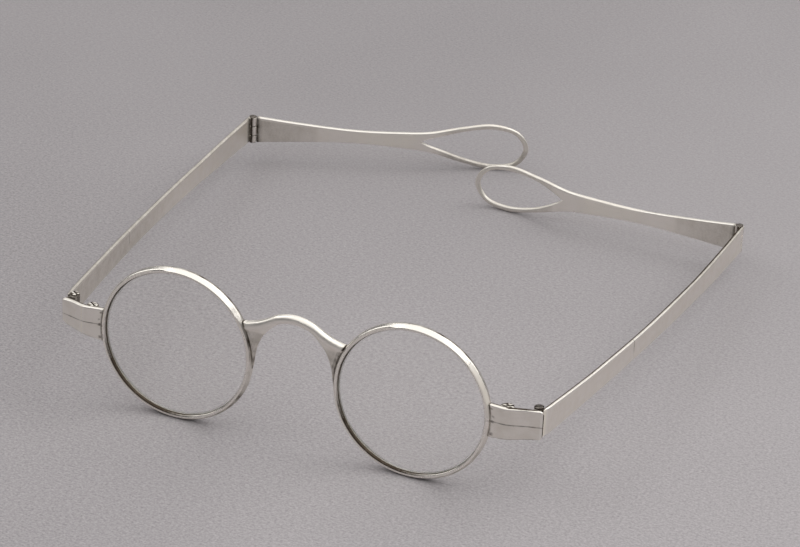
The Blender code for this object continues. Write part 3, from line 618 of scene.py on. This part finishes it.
def bridgeSoilAndShading(local):
    # dark where the feet are soldered to the rims, rough with old solder beside it, and down the tails;
    # painted shade under the middle of the arch, and a painted highlight over the upper part
    x, away, z = local[:, 0], np.abs(local[:, 0]), local[:, 2]
    gap = rimGap(x, z)
    patchy = 0.5 + 0.5 * np.sin(z * 2.6 + x * 0.7)
    seam = bell(gap, 0, 0.20) * (0.16 + 0.36 * patchy)
    notch = bell(gap, 0.1, 0.22) * ramp(z, 8.0, 0.5) * 0.9
    tail = ramp(z, 4.5, -5.0) * (0.12 + 0.22 * patchy) * ramp(away, 7, 1.5)
    face = ramp(z, 8.6, -2.0) * ramp(away, 4.5, 1.5) * 0.20 * (0.7 + 0.3 * patchy)
    # painted shade under the middle of the arch
    under = ramp(z, 10.1, -0.6) * ramp(away, 4.5, -1.5) * 0.25
    lumps = np.where(x > 0, 0.55, 0.30) * (0.65 + 0.35 * np.sin(z * 2.9 - x * 4.1) * np.sin(away * 7.3))
    rough = ramp(gap, 1.5, -1.2) * ramp(z, 8.4, -1.0) * ramp(z, 1.0, 2.0) * lumps
    # the brightening above the feet is a painted highlight on the arch
    return soilShadeAndSheen([seam, notch, tail + face, under, rough], [ramp(z, 7.0, 2.5) * 0.4])


archLine = spline([(-x, z) for x, z in bridge["arch"][::-1]][:-1] + bridge["arch"], 401)
addPiece("silver_bridge", bridgeHalf(1, archLine) + bridgeHalf(-1, archLine), front,
         bridgeSilver, ["bridge"], bridgeSoilAndShading, sharpAngle=50)
print("bridge ready")

# End pieces, with values for the right (1) and the left (-1) where they differ
plate = {
    "rimTouch": 17.66, "face": -0.85, "thick": 1.2, "endThick": {1: 0.78, -1: 1.42}, "round": 0.30,
    "lineStart": 43.0, "bend": {1: 48.7, -1: 49.7}, "bendSpan": 2.0, "back": 0.45, "endRound": 0.32,
    "corner": {1: (55.95, 1.95), -1: (55.95, 1.30)}, "cornerRound": {1: (0.8, 1.0), -1: (0.3, 1.3)},
    "seam": 0.3, "seamHalf": 0.03, "seamEnd": {1: -0.1, -1: -0.35}, "length": 11.5, "uneven": 0.05,
    "top": {1: (4.1, 3.6), -1: (4.1, 3.1)}, "bottom": {1: (-3.6, -3.1), -1: (-3.6, -2.65)},
    "barrel": {1: (48.1, 1.35), -1: (48.45, 1.35)}, "barrelRadius": 1.35, "hingeRadius": 1.05,
    "barrelTop": {"closing": 3.3, "hinge": 3.45}, "barrelBottom": -3.4, "middleHalf": 1.1, "webHalf": 0.8,
    "knuckleHalf": 1.3,
}


def plateLine(sign):
    # plan of the front face: straight out from the rim, eased round the bend and a little back again
    # before the corner; the bend's strength is the one that brings the line to the corner
    fine = np.linspace(-1, 16, 1701)
    step, start, span = fine[1] - fine[0], plate["lineStart"], plate["bendSpan"]
    bend, (endX, endY) = plate["bend"][sign] - start, plate["corner"][sign]
    ease = ramp(fine, bend - span, 2 * span) - plate["back"] * ramp(fine, bend + span, 5.0)
    misses, paths = [], []
    for strength in np.linspace(0.1, 1.3, 121):
        x = start + fine[0] + np.append(0, np.cumsum(np.cos(strength * ease[:-1]) * step))
        y = plate["face"] + np.append(0, np.cumsum(np.sin(strength * ease[:-1]) * step))
        misses.append(abs(np.interp(endX, x, y) - endY))
        paths.append((x, y, strength * ease))
    best = paths[int(np.argmin(misses))]

    def line(distance):
        return [np.interp(distance, fine, values) for values in best]
    return line, np.interp(endX, best[0], fine)


def seamLevel(sign, share):
    return plate["seam"] + (plate["seamEnd"][sign] - plate["seam"]) * smoothStep(share * 1.1)


def plateShell(sign, upperHalf):
    # a rounded rectangle on edge, carried along the plan; it starts on the rim's curve and its free
    # corner is rounded, while the edge at the seam is cut square
    line, end = plateLine(sign)
    share, drawn = quarterRun(0.0, 10.0, plate["endRound"], np.linspace(0, 10, 61))
    share = share / share[-1]
    way = 1 if upperHalf else -1
    seam = seamLevel(sign, share) + way * plate["seamHalf"]
    edge = plate["top" if upperHalf else "bottom"][sign]
    outerRound, length = plate["cornerRound"][sign][0 if upperHalf else 1], plate["length"]
    over = np.clip((share * length - (length - outerRound)) / outerRound, 0, 1)
    free = edge[0] + (edge[1] - edge[0]) * share
    free = free - np.sign(free) * outerRound * (1 - np.sqrt(1 - over ** 2)) * 0.95
    cut = seam - way * plate["round"] * 0.75
    low, high = (cut, free) if upperHalf else (free, cut)
    thick = plate["thick"] + (plate["endThick"][sign] - plate["thick"]) * smoothStep(share * 1.6 - 0.6)
    centre = joined(0, 0, (low + high) / 2)
    flat = sweep(sectionPlan(6, 22), centre, thick / 2, (high - low) / 2, plate["round"], drawn)
    depth = flat[..., 0] + thick[:, None] / 2                        # how far behind the front face
    level = (np.maximum if upperHalf else np.minimum)(flat[..., 2], seam[:, None])
    start = rim["centre"] + np.sqrt(plate["rimTouch"] ** 2 - np.clip(level, -6, 6) ** 2) - plate["lineStart"]
    run = start + share[:, None] * (end - start)
    x, y, slope = line(run)
    dip = plate["uneven"] * np.sin(run * 0.9 + sign) * np.sin(level * 0.8) * (depth < 0.5)
    return joined(sign * (x - np.sin(slope) * depth), y + np.cos(slope) * depth + dip, level), True, True


def plateSoilAndShading(local):
    # dark along the seam between the halves and at the rim; painted shade on the hidden back, the top face
    # behind and the end face by the bar; painted highlights along the top edge, on the outer corner and at
    # the left plate's bend
    right, x, y, z = local[:, 0] > 0, np.abs(local[:, 0]), local[:, 1], local[:, 2]
    share = (x - 44.9) / 11.0
    gap = rimGap(x, z)
    patchy = 0.75 + 0.25 * np.sin(x * 2.3 + 1.0) * np.sin(x * 0.9)
    behind = y - plate["face"] - np.clip(x - 49.0, 0, None) * np.where(right, 0.42, 0.33)
    over = z - plate["top"][1][0] + np.where(right, 0.5, 1.0) * share
    seam = bell(z, np.where(right, seamLevel(1, share), seamLevel(-1, share)), 0.10) * 0.62 * patchy
    joint = bell(gap, 0, 0.26) * (0.45 + 0.35 * ramp(z, 1.2, 2.0) * right)
    # painted shade on the hidden back, strongest on the top face behind its front edge
    back = ramp(behind, 0.38, 0.15) * (0.28 + 0.52 * ramp(over, -0.5, 0.2))
    # painted shade in the gap at the end face, next to the bar
    end = ramp(x, 55.76, 0.08) * 0.85
    under = ramp(z + 3.55 - np.where(right, 0.5, 0.95) * share, 0.28, -0.2) * 0.4 * patchy
    spots = bell(gap, 0.5, 0.4) * 0.45 * ramp(np.sin(z * 3.1 + 0.6) * np.sin(z * 1.3 + x), 0.1, 0.5)
    # painted highlights: the top edge, the outer corner and the left plate's bend
    top = ramp(over, -0.42, 0.15) * 0.6
    corner = ramp(x, 55.3, 0.2) * (behind < 0.5) * 0.7
    bent = bell(x, 50.2, 0.55) * ~right * (behind < 0.4)
    return soilShadeAndSheen([seam, joint, back, end, under, spots, 0.03 * right * patchy],
                  [top, corner, bent, 0.15 * ~right])


def crevice(low, high, centre, ways):
    # a bright barrel, dark where it meets the next one and in the corners between it and the strips
    def soil(local):
        nearest = np.minimum(np.abs(local[:, 2] - low), np.abs(local[:, 2] - high))
        angle = np.arctan2(local[:, 1] - centre[1], local[:, 0] - centre[0])
        dark = 0.06 * bell(nearest, 0, 0.10) - 0.3
        for way in ways:
            off = np.abs(np.angle(np.exp(1j * (angle - math.atan2(way[1], way[0])))))
            dark = np.maximum(dark, 0.85 * bell(off, 0, 0.38))
        return dark
    return soil


def barrelSoil(local):
    return 0.42 + 0.2 * np.sin(local[:, 2] * 5) ** 2


def webShell(x, start, end, low, high, halfWide):
    # a short rounded block from the back of the plate to the barrel
    along, drawn = quarterRun(start, end, 0.12, np.linspace(start, end, 5))
    centre = joined(x, along, (low + high) / 2)
    return sweep(sectionPlan(5, 0), centre, halfWide, (high - low) / 2, 0.15, drawn), True, True


screw = {
    "closing": {1: 1.45, -1: 1.15}, "hinge": {1: 1.05, -1: 0.95}, "head": 0.32, "turned": {1: 0.5, -1: -0.7},
    "shade": {"closing": {1: 0.50, -1: 0.10}, "hinge": {1: None, -1: 0.25}},      # None is plain dark steel
    "rise": 0.12, "slotHalf": 0.17, "slotDeep": 0.22, "shaft": 0.5, "footShade": 0.16,
}


def screwHead(centre, radius, seat, height, slotted=True, flip=1, turned=0.0):
    # loops across the head, one for each x: down the side, over a shallow dome and through the slot
    x = radius * np.cos(np.linspace(math.pi, 0, 33))
    reach = np.sqrt(np.clip(radius ** 2 - x ** 2, 0, None))
    slot = np.minimum(screw["slotHalf"] if slotted else 0.02, reach * 0.55)
    outer = (slot[:, None] + (reach - slot)[:, None] * np.linspace(1, 0, 7)[None, :])[:, 1:]
    side = reach[:, None]
    zero = 0 * side
    seatLevel, edgeTop = seat + zero, seat + height - screw["rise"]
    sideTop = edgeTop + zero - 0.03
    floorLevel = edgeTop + zero + screw["rise"] * 0.5 - (screw["slotDeep"] if slotted else 0.0)
    dome = edgeTop + screw["rise"] * (1 - (x[:, None] ** 2 + outer ** 2) / radius ** 2)
    rows = [(zero, seatLevel), (-side * 0.5, seatLevel), (-side, seatLevel), (-side, sideTop), (-outer, dome)]
    if slotted:
        rows += [(-slot[:, None], floorLevel), (slot[:, None], floorLevel)]
    rows += [(outer[:, ::-1], dome[:, ::-1]), (side, sideTop), (side, seatLevel), (side * 0.5, seatLevel),
             (zero, seatLevel)]
    y, z = (np.concatenate(part, 1) for part in zip(*rows))
    x = x[:, None] + 0 * y
    cosine, sine = math.cos(turned), math.sin(turned)
    return joined(centre[0] + cosine * x - sine * y, centre[1] + sine * x + cosine * y,
                  seat + (z - seat) * flip), False, False


def headSoilAndShade(centre, seat, shade):
    # black in the slot and round the foot of the head, painted shade; a silvery head is worn in patches
    def soil(local):
        x, y = local[:, 0] - centre[0], local[:, 1] - centre[1]
        # below the seat line lie the slot floor and the head's sides, darkened as painted shade
        if shade is None:
            return np.where(local[:, 2] < seat, 0.85, 0.02)
        patches = np.sin(x * 3.7 + 0.6) * np.sin(y * 4.3 + 1.1) + 0.6 * np.sin(x * 7.9 - y * 6.1)
        return np.where(local[:, 2] < seat, 0.95, np.clip(shade + patches * 0.9, -0.4, 0.9))
    return soil


for side, sign in sides.items():
    barrelAt = (sign * plate["barrel"][sign][0], plate["barrel"][sign][1])
    hingeAt = (sign * hingeOut, hingeBehind)
    seam, bottom, tops = plate["seam"], plate["barrelBottom"], plate["barrelTop"]
    for half, low, high, knuckleLow, knuckleHigh in (
            ("upper", seam + plate["seamHalf"], tops["closing"], seam + plate["knuckleHalf"], tops["hinge"]),
            ("lower", bottom, seam - plate["seamHalf"], bottom, seam - plate["knuckleHalf"])):
        name = side + "_" + half
        addPiece("end_plate_" + name, [plateShell(sign, half == "upper")], front, plateSilver,
                 [side + "_endpiece_" + half], plateSoilAndShading)
        addPiece("closing_barrel_" + name, [barrel(plate["barrelRadius"], low, high, barrelAt)], front,
                 hingeSilver, soil=barrelSoil)
        web = webShell(sign * hingeOut, 2.4, 3.9, knuckleLow + 0.05, knuckleHigh - 0.05, plate["webHalf"])
        knuckle = barrel(plate["hingeRadius"], knuckleLow, knuckleHigh, hingeAt)
        addPiece("hinge_knuckle_" + name, [knuckle, web], front,
                 hingeSilver, soil=barrelSoil)
    for part, at in (("closing", barrelAt), ("hinge", hingeAt)):
        turned = screw["turned"][sign]
        head = screwHead(at, screw[part][sign], tops[part] - 0.02, screw["head"], turned=turned)
        shaft = barrel(screw["shaft"], bottom - 0.12, tops[part], at, 0.06, 32)
        shade = screw["shade"][part][sign]
        addPiece(part + "_screw_" + side, [head, shaft], front, darkSteel if shade is None else hingeSilver,
                 ["%s_%s_screw" % (side, part)],
                 headSoilAndShade(at, tops[part] + screw["footShade"], shade), sharpAngle=30)
print("end pieces ready")

# Temple bars
bar = {
    "start": -0.9, "end": 102.85, "thick": 1.0, "frontOffset": 0.9, "rearOffset": 0.15, "bow": 1.78,
    "heights": (6.5, 5.4, 4.9, 5.1, 7.0), "shares": (0, 0.2, 0.45, 0.72, 1), "level": 0.3, "fall": 1.0,
    "seam": {1: 39.655, -1: 34.505}, "seamGap": 0.015, "round": 0.42, "trim": 0.6, "taper": 0.4 / 2.3,
    "rearRadius": 1.0, "rearLow": 1.3, "rearTop": 3.45, "rearBottom": 2.95, "pinHead": 0.85, "pin": 0.45,
    "notchHalf": 1.4, "notchAt": 101.75,
    "room": 1.2, "roomHalf": 1.15, "roomSide": 1.5,      # hollow round the front's knuckles
}


def barHeight(y):
    share = np.clip(y / barLength, 0, 1)
    heights, shares = bar["heights"], bar["shares"]
    result = np.full(np.shape(share), float(heights[-1]))
    for index in range(3, -1, -1):
        part = (share - shares[index]) / (shares[index + 1] - shares[index])
        eased = part if index in (0, 3) else part * part * (3 - 2 * part)
        height = heights[index] + (heights[index + 1] - heights[index]) * eased
        result = np.where(share <= shares[index + 1], height, result)
    return result


def barInner(y):
    share = y / barLength
    inside = np.clip(share, 0, 1)
    straight = bar["frontOffset"] + (bar["rearOffset"] - bar["frontOffset"]) * share
    return straight + 4 * bar["bow"] * inside * (1 - inside)


def barLevel(y):
    return bar["level"] - bar["fall"] * y / barLength


def barShell(sign, start, end, rounding, low=-9.0, high=9.0, tallSteps=30):
    # a rounded rectangle on edge, bowed outward: offset = straight line + 4 bow s (1 - s), height eased
    # between five heights; its rear end is a little less tall below
    steps = np.concatenate([np.arange(-0.7, 3, 0.15), np.arange(3, 103, 0.9)])
    along, drawn = quarterRun(start, end, rounding, steps)
    thick = bar["thick"] - bar["taper"] * np.clip(1.4 - along, 0, None)
    top = np.minimum(barLevel(along) + barHeight(along) / 2, rearLevel + high)
    trim = bar["trim"] * ramp(along / barLength, 0.75, 0.25)
    bottom = np.maximum(barLevel(along) - barHeight(along) / 2 + trim, rearLevel + low)
    centre = joined(sign * (barInner(along) + thick / 2), along, (top + bottom) / 2)
    shell = sweep(sectionPlan(6, tallSteps), centre, thick / 2, (top - bottom) / 2, bar["round"], drawn, sign)
    # hollowed where the knuckles of the front turn beside it
    x, y, z = sign * shell[..., 0], shell[..., 1], shell[..., 2]
    room = np.sqrt(np.clip(bar["room"] ** 2 - y ** 2, 0, None))
    beside = (np.abs(z - plate["seam"]) > bar["roomHalf"]) & (x < bar["roomSide"])
    x = np.where(beside, np.maximum(x, room), x)
    return joined(sign * x, y, z), True, True


def barSoilAndShading(sign):
    # dark lines where the bar meets its hinges, in the solder line's upper part and on the inner face by the
    # hinge; the top is shaded at the side away from the light, with painted highlights along its lit side at
    # the front and on the front end
    def soil(local):
        x, y, z = sign * local[:, 0], local[:, 1], local[:, 2]
        depth = x - barInner(y)
        isInner = depth < 0.3
        over = z - barLevel(y) - barHeight(y) / 2
        across = depth / bar["thick"]
        hinge = ramp(y, -0.5, -0.1) * ramp(depth, 0.25, -0.1) * 0.8
        inner = bell(y, 0.6, 1.3) * 0.3 * isInner
        rear = bell(y, 101.5, 0.55) * 0.85 * isInner + (y > 102.65) * 0.25
        seam = bell(y, bar["seam"][sign], 0.10) * ramp(z, -0.9, 0.6) * 0.42
        if sign > 0:
            shade = ramp(over, -0.36, 0.14) * (ramp(across, 0.62, -0.15) * 0.75 + ramp(y, 45, 40) * 0.25)
            dull, lit, start = 0 * y, across, ramp(y, 0.7, -0.7)
        else:
            shade = ramp(over, -0.42, 0.14) * (0.28 + 0.22 * ramp(across, 0.6, 0.15))
            dull, lit, start = ramp(y, 70, -40) * 0.17, 1 - across, ramp(y, 0.0, -0.7)
        # painted highlights: bright along the lit side of the top, fading towards the rear; start lightens
        # the front end
        bright = ramp(over, -0.5, 0.1) * ramp(lit, 0.6, 0.15) * ramp(y, 60, -30) * 0.6
        return soilShadeAndSheen([hinge, inner, rear, seam, shade, dull], [bright, start])
    return soil


for side, sign in sides.items():
    place, seam, soil, gap = barPlace[side], bar["seam"][sign], barSoilAndShading(sign), bar["seamGap"]
    ahead = barShell(sign, bar["start"], seam - gap, 0.14)
    addPiece("bar_front_" + side, [ahead], place, barSilver, [side + "_bar_front"], soil)
    prongs = [barShell(sign, bar["notchAt"] - 0.4, bar["end"], 0.12, low, high, 6)
              for low, high in ((bar["notchHalf"], 9), (-9, -bar["notchHalf"]))]
    behind = [barShell(sign, seam + gap, bar["notchAt"], 0.10)] + prongs
    addPiece("bar_rear_" + side, behind, place, barSilver, [side + "_bar_rear"], soil)
    level, half = plate["seam"], plate["middleHalf"]
    centre = joined(sign * 0.6, np.linspace(-0.75, 0.75, 7), level)
    lug = sweep(sectionPlan(5, 0), centre, 0.6, half - 0.03, 0.12, 0.0, sign)
    knuckle = barrel(plate["hingeRadius"], level - half, level + half, (0, 0))
    addPiece("temple_knuckle_" + side, [knuckle, (lug, True, True)], place, hingeSilver,
             soil=barrelSoil)
    ways = [(0, -1), tipPlace[side].axes[1] @ place.axes.T]
    rearAt = (0, barLength)
    top, bottom = rearLevel + bar["rearTop"], rearLevel - bar["rearBottom"]
    for half, low, high in (("upper", rearLevel + bar["rearLow"], top),
                            ("lower", bottom, rearLevel - bar["rearLow"])):
        knuckle = barrel(bar["rearRadius"], low, high, rearAt, 0.05)
        addPiece("rear_knuckle_%s_%s" % (side, half), [knuckle], place, barrelSilver,
                 soil=crevice(low, high, rearAt, ways))
    pin = [screwHead(rearAt, bar["pinHead"], top - 0.02, 0.3, False),
           screwHead(rearAt, bar["pinHead"], bottom + 0.02, 0.3, False, -1),
           barrel(bar["pin"], bottom, top, rearAt, 0.05, 32)]
    addPiece("rear_pin_head_" + side, pin, place, darkSteel, [side + "_rear_pin"],
             headSoilAndShade(rearAt, top + 0.12, None), sharpAngle=30)
print("temple bars ready")

# Temple ends
tip = {
    "length": 66.4, "inner": 0.09, "outer": 1.21, "start": 1.04, "crotch": {1: 43.7, -1: 40.2},
    # shares of the length and half heights of the outline, then places of the hole's edge
    "shares": (0.0, 0.18, 0.38, 0.52, 0.64, 0.76, 0.875, 0.966, 1.0),
    "halves": (3.42, 2.36, 1.65, 1.935, 2.6, 4.62, 5.85, 4.095, 0),
    "hole": {1: [(43.7, 0), (45.6, 0.95), (48.2, 2.35), (51.2, 3.55)],
             -1: [(40.2, 0), (42.4, 0.8), (46.0, 1.95), (50.5, 3.37)]},
    "holeEnd": [(58.1, 4.6), (63.2, 3.345), (65.15, 0)],
    "stripRound": 0.34, "wireRound": 0.52, "knuckleHalf": 1.1, "stripSteps": 60, "loopSteps": 181,
}
tipOutline = [(share * tip["length"], up) for share, up in zip(tip["shares"], tip["halves"])]
tipMiddle, tipHalf = (tip["inner"] + tip["outer"]) / 2, (tip["outer"] - tip["inner"]) / 2


def mirrored(keys):
    return keys + [(x, -z) for x, z in keys[::-1][1:]]


def tipShells(sign, slope):
    # outer outline and inner line, the axis and then the hole's edge, run side by side from the upper root
    # round the loop to the lower root; faces lie between them and half rounds turn over both edges
    outline = spline(mirrored(tipOutline), 1200)
    outline = outline[(outline[:, 0] >= tip["start"])]
    hole = spline(mirrored(tip["hole"][sign] + tip["holeEnd"]), 900)
    split = tip["crotch"][sign]
    inLoop = outline[:, 0] > split
    loopPart, upperStrip = outline[inLoop], outline[(~inLoop) & (outline[:, 1] > 0)]
    strip = evenSteps(np.concatenate([upperStrip, loopPart[:1]]), tip["stripSteps"])
    loopOuter, loopInner = evenSteps(loopPart, tip["loopSteps"]), evenSteps(hole, tip["loopSteps"])
    outer = np.concatenate([strip[:-1], loopOuter, (strip * (1, -1))[::-1][1:]])
    inner = np.concatenate([strip[:-1] * (1, 0), loopInner, (strip * (1, 0))[::-1][1:]])
    # straighten the axis rows so that they end at the crotch
    count = len(strip) - 1
    loop = slice(count, count + tip["loopSteps"])
    inner[:count, 0] = strip[:-1, 0] + (split - strip[-1, 0]) * np.linspace(0, 1, count)
    inner[-count:, 0] = inner[:count, 0][::-1]
    outward, holeNormal = sideways(outer), np.zeros_like(outer)
    holeNormal[loop] = sideways(loopInner)
    wireShare = ramp(outer[:, 0], 36, 14)
    rounding = (tip["stripRound"] + (tip["wireRound"] - tip["stripRound"]) * wireShare)[:, None]
    rounding = np.minimum(rounding, np.linalg.norm(outer - inner, axis=1)[:, None] * 0.45)
    isHole = np.abs(holeNormal).sum(1, keepdims=True) > 0
    holeRound = rounding * smoothStep(np.abs(inner[:, 1:]) / 0.9 + (inner[:, :1] > 60)) * isHole
    faceOuter, faceInner = outer - outward * rounding, inner + holeNormal * holeRound
    flat = faceInner[:, None, :] + np.linspace(0, 1, 7)[None, :, None] * (faceOuter - faceInner)[:, None, :]

    def lift(plane, depth):
        along, up = plane[..., 0], plane[..., 1]
        return joined(sign * (tipMiddle + depth), along, up + slope * along)

    def turnedOver(line, normal, rounding):
        # a half round from one face to the other, its crest on the line
        bend = np.linspace(0, math.pi, 13)
        depth = np.where(bend <= math.pi / 2, -tipHalf + rounding * (1 - np.cos(bend)),
                         tipHalf - rounding * (1 + np.cos(bend)))
        inset = (normal * rounding)[:, None, :] * (1 - np.sin(bend)[None, :, None])
        return lift(line[:, None, :] - inset, depth)
    return [lift(flat, -tipHalf), lift(flat, tipHalf),
            turnedOver(outer, outward, rounding), turnedOver(inner[loop], -holeNormal[loop], holeRound[loop])]


def tipRoot(faces):
    # the ring at the root, closed by one flat fan
    nearFace, farFace, outerEdge = faces[:3]
    ring = np.concatenate([nearFace[0], outerEdge[0], farFace[0][::-1],
                           farFace[-1], outerEdge[-1][::-1], nearFace[-1][::-1]])
    return np.stack([ring, np.repeat(ring.mean(0)[None, :], len(ring), 0)], 0), True, False


def tipSoilAndShading(sign):
    # dark at the hinge, browner on the broad part by it and along the loop's lower wire, clean between; a
    # painted highlight along the top edge
    def soil(local):
        y, z = local[:, 1], local[:, 2]
        # crest: painted highlight along the top edge of the strip
        crest = ramp(z - np.interp(y, *zip(*tipOutline)), -0.45, 0.15) * ramp(y, 50, -10)
        root = bell(y, 1.1, 0.6) * 0.8
        broad = bell(y, 0, 17) * 0.17 * (1 - crest)
        lower = ramp(y, 36, 8) * ramp(z, 0.6, -1.8) * (0.10 if sign > 0 else 0.24)
        inner = ramp(y, 40, 5) * (sign * local[:, 0] < tipMiddle) * 0.08 * (1 - crest)
        clean = ramp(y, 14, 12) * ramp(y, 48, -10) * (1 - crest) * 0.88
        return np.maximum.reduce([root, broad, lower, inner]) - np.maximum(crest * 0.2, clean)
    return soil


def cadSlope(node, place):
    # slope of the loop, read from the solid it stands for
    local = localPoints(frame["nodes"][node].data, place)
    far = local[:, 1] > local[:, 1].max() - 0.05
    return float((local[far, 2] / local[far, 1]).mean())


for side, sign in sides.items():
    place = tipPlace[side]
    slope = cadSlope(side + "_tip", place)
    faces = tipShells(sign, slope)
    along, drawn = quarterRun(0.15, 2.2, 0.05, np.linspace(0.15, 2.2, 7))
    centre = joined(sign * tipMiddle, along, slope * along)
    lug = sweep(sectionPlan(5, 0), centre, tipHalf - 0.01, 0.98, 0.08, drawn, sign)
    shells = [(grid, False, False) for grid in faces] + [tipRoot(faces), (lug, True, True)]
    addPiece("temple_end_" + side, shells, place, tipSilver, [side + "_tip"], tipSoilAndShading(sign))
    half, ways = tip["knuckleHalf"], [(0, 1), -barPlace[side].axes[1] @ place.axes.T]
    knuckle = barrel(bar["rearRadius"], -half, half, (0, 0), 0.05)
    addPiece("tip_knuckle_" + side, [knuckle], place, barrelSilver,
             soil=crevice(-half, half, (0, 0), ways))
print("temple ends ready")

# Floor, light and camera
floorLook = {
    "colour": (0.372, 0.353, 0.366), "speck": 0.60, "clouds": 0.18, "rough": 0.9, "gloss": 0.2,
    "right": 1.02, "back": -0.58, "tilt": 0.12,      # lighter to one side by the metre, a painted fall-off of the light, and how much at most
    "reach": 30.0, "sunk": 0.00002,                  # metres
}


def floorRecipe():
    # grey felted paper: fine specks, short fibres and broad faint clouds, and a painted fall-off of light
    # that makes it lighter to one side
    recipe = Recipe("studioPaper")
    place = recipe.node("ShaderNodeTexCoord", output=3)
    specks = recipe.noise(place, 1900.0, 3.0, 0.7)
    fibres = recipe.noise(recipe.stretched(place, (900.0, 2600.0, 1.0), (0, 0, 0.6)), 1.0, 3.0, 0.7)
    clouds = recipe.noise(place, 9.0, 3.0, 0.5)
    x, y = (recipe.node("ShaderNodeSeparateXYZ", {}, {"Vector": place}, axis) for axis in (0, 1))
    calm = 1.0 - y.above(-0.05, 0.07) * 0.5
    grain = ((specks - 0.5) * 0.9 + (fibres - 0.5) * 0.7) * calm
    tone = (grain + (clouds - 0.5) * floorLook["clouds"] + 0.5).held()
    # painted light: the paper's colour is lightened to the right and the front, as if it were lit more there
    slope = recipe.maths("MAXIMUM", x * floorLook["right"] + y * floorLook["back"], -floorLook["tilt"])
    slope = recipe.maths("MINIMUM", slope, floorLook["tilt"])
    tone = (tone + slope / (2 * floorLook["speck"])).held()
    dark, light = (tuple(value * (1 + way * floorLook["speck"]) for value in floorLook["colour"]) + (1,)
                   for way in (-1, 1))
    colour, uneven = recipe.blend(tone, dark, light), recipe.bump(specks, 0.03, 0.5)
    return recipe.finish(recipe.surface({"Base Color": colour, "Roughness": floorLook["rough"],
                                         "Specular IOR Level": floorLook["gloss"], "Normal": uneven}))


ticks = np.concatenate([[-floorLook["reach"]], np.linspace(-2, 2, 21), [floorLook["reach"]]])
across, along = np.meshgrid(ticks, ticks, indexing="ij")
ground = bpy.data.meshes.new("studio_floor")
ground.from_pydata(joined(across, along, 0).reshape(-1, 3).tolist(), [],
                   gridFaces(len(ticks), len(ticks), False, 0))
ground.materials.append(floorRecipe())
ground.flip_normals()
floor = bpy.data.objects.new("studio_floor", ground)
floor.location.z = -floorLook["sunk"]
bpy.context.scene.collection.objects.link(floor)

lights = {
    "overhead_sheet": {"place": (0.10, -0.12, 0.95), "size": 1.9, "power": 11.3},
    "right_box": {"place": (0.85, 0.80, 0.95), "size": 1.3, "power": 8.2},
    "rear_box": {"place": (-0.45, 1.05, 0.75), "size": 1.0, "power": 2.8},
    "left_box": {"place": (-1.00, -0.05, 0.72), "size": 0.9, "power": 3.0},
}
lightColour, worldColour, worldLight = (1.0, 0.985, 0.96), (0.98, 0.985, 1.0, 1), 0.13
for name, setting in lights.items():
    soft = bpy.data.lights.new(name, "AREA")
    soft.shape, soft.size, soft.energy = "SQUARE", setting["size"], setting["power"]
    soft.color = lightColour
    lamp = bpy.data.objects.new(name, soft)
    lamp.location = setting["place"]
    lamp.rotation_euler = Vector(setting["place"]).to_track_quat("Z", "Y").to_euler()
    bpy.context.scene.collection.objects.link(lamp)

world = bpy.data.worlds.new("studio")
bpy.context.scene.world = world
room = Recipe("studio", world)
background = room.node("ShaderNodeBackground", {}, {"Color": worldColour, "Strength": worldLight})
room.node("ShaderNodeOutputWorld", {}, {"Surface": background})

view = {"place": (283.208, -665.701, 452.701), "azimuth": 23.344, "elevation": 31.641, "roll": 0.471,
        "focal": 3763.4, "pixels": 800, "sensor": 36.0}      # place in millimetres, focal length in pixels
azimuth, elevation, roll = (math.radians(view[key]) for key in ("azimuth", "elevation", "roll"))
level = np.array([math.cos(azimuth), math.sin(azimuth), 0])
towards = np.array([math.sin(azimuth), -math.cos(azimuth), 0]) * math.cos(elevation)
towards[2] = math.sin(elevation)
upright = np.cross(towards, level)
right = level * math.cos(roll) + upright * math.sin(roll)
top = upright * math.cos(roll) - level * math.sin(roll)
lensData = bpy.data.cameras.new("camera")
lensData.sensor_width, lensData.lens = view["sensor"], view["focal"] * view["sensor"] / view["pixels"]
lensData.clip_start, lensData.clip_end = 0.01, 100
camera = bpy.data.objects.new("camera", lensData)
matrix = Matrix((right, top, towards)).transposed().to_4x4()
matrix.translation = [value * mm for value in view["place"]]
camera.matrix_world = matrix
bpy.context.scene.collection.objects.link(camera)
bpy.context.scene.camera = camera
bpy.context.scene.view_settings.view_transform = "Standard"
print("studio ready")

bpy.context.view_layer.update()
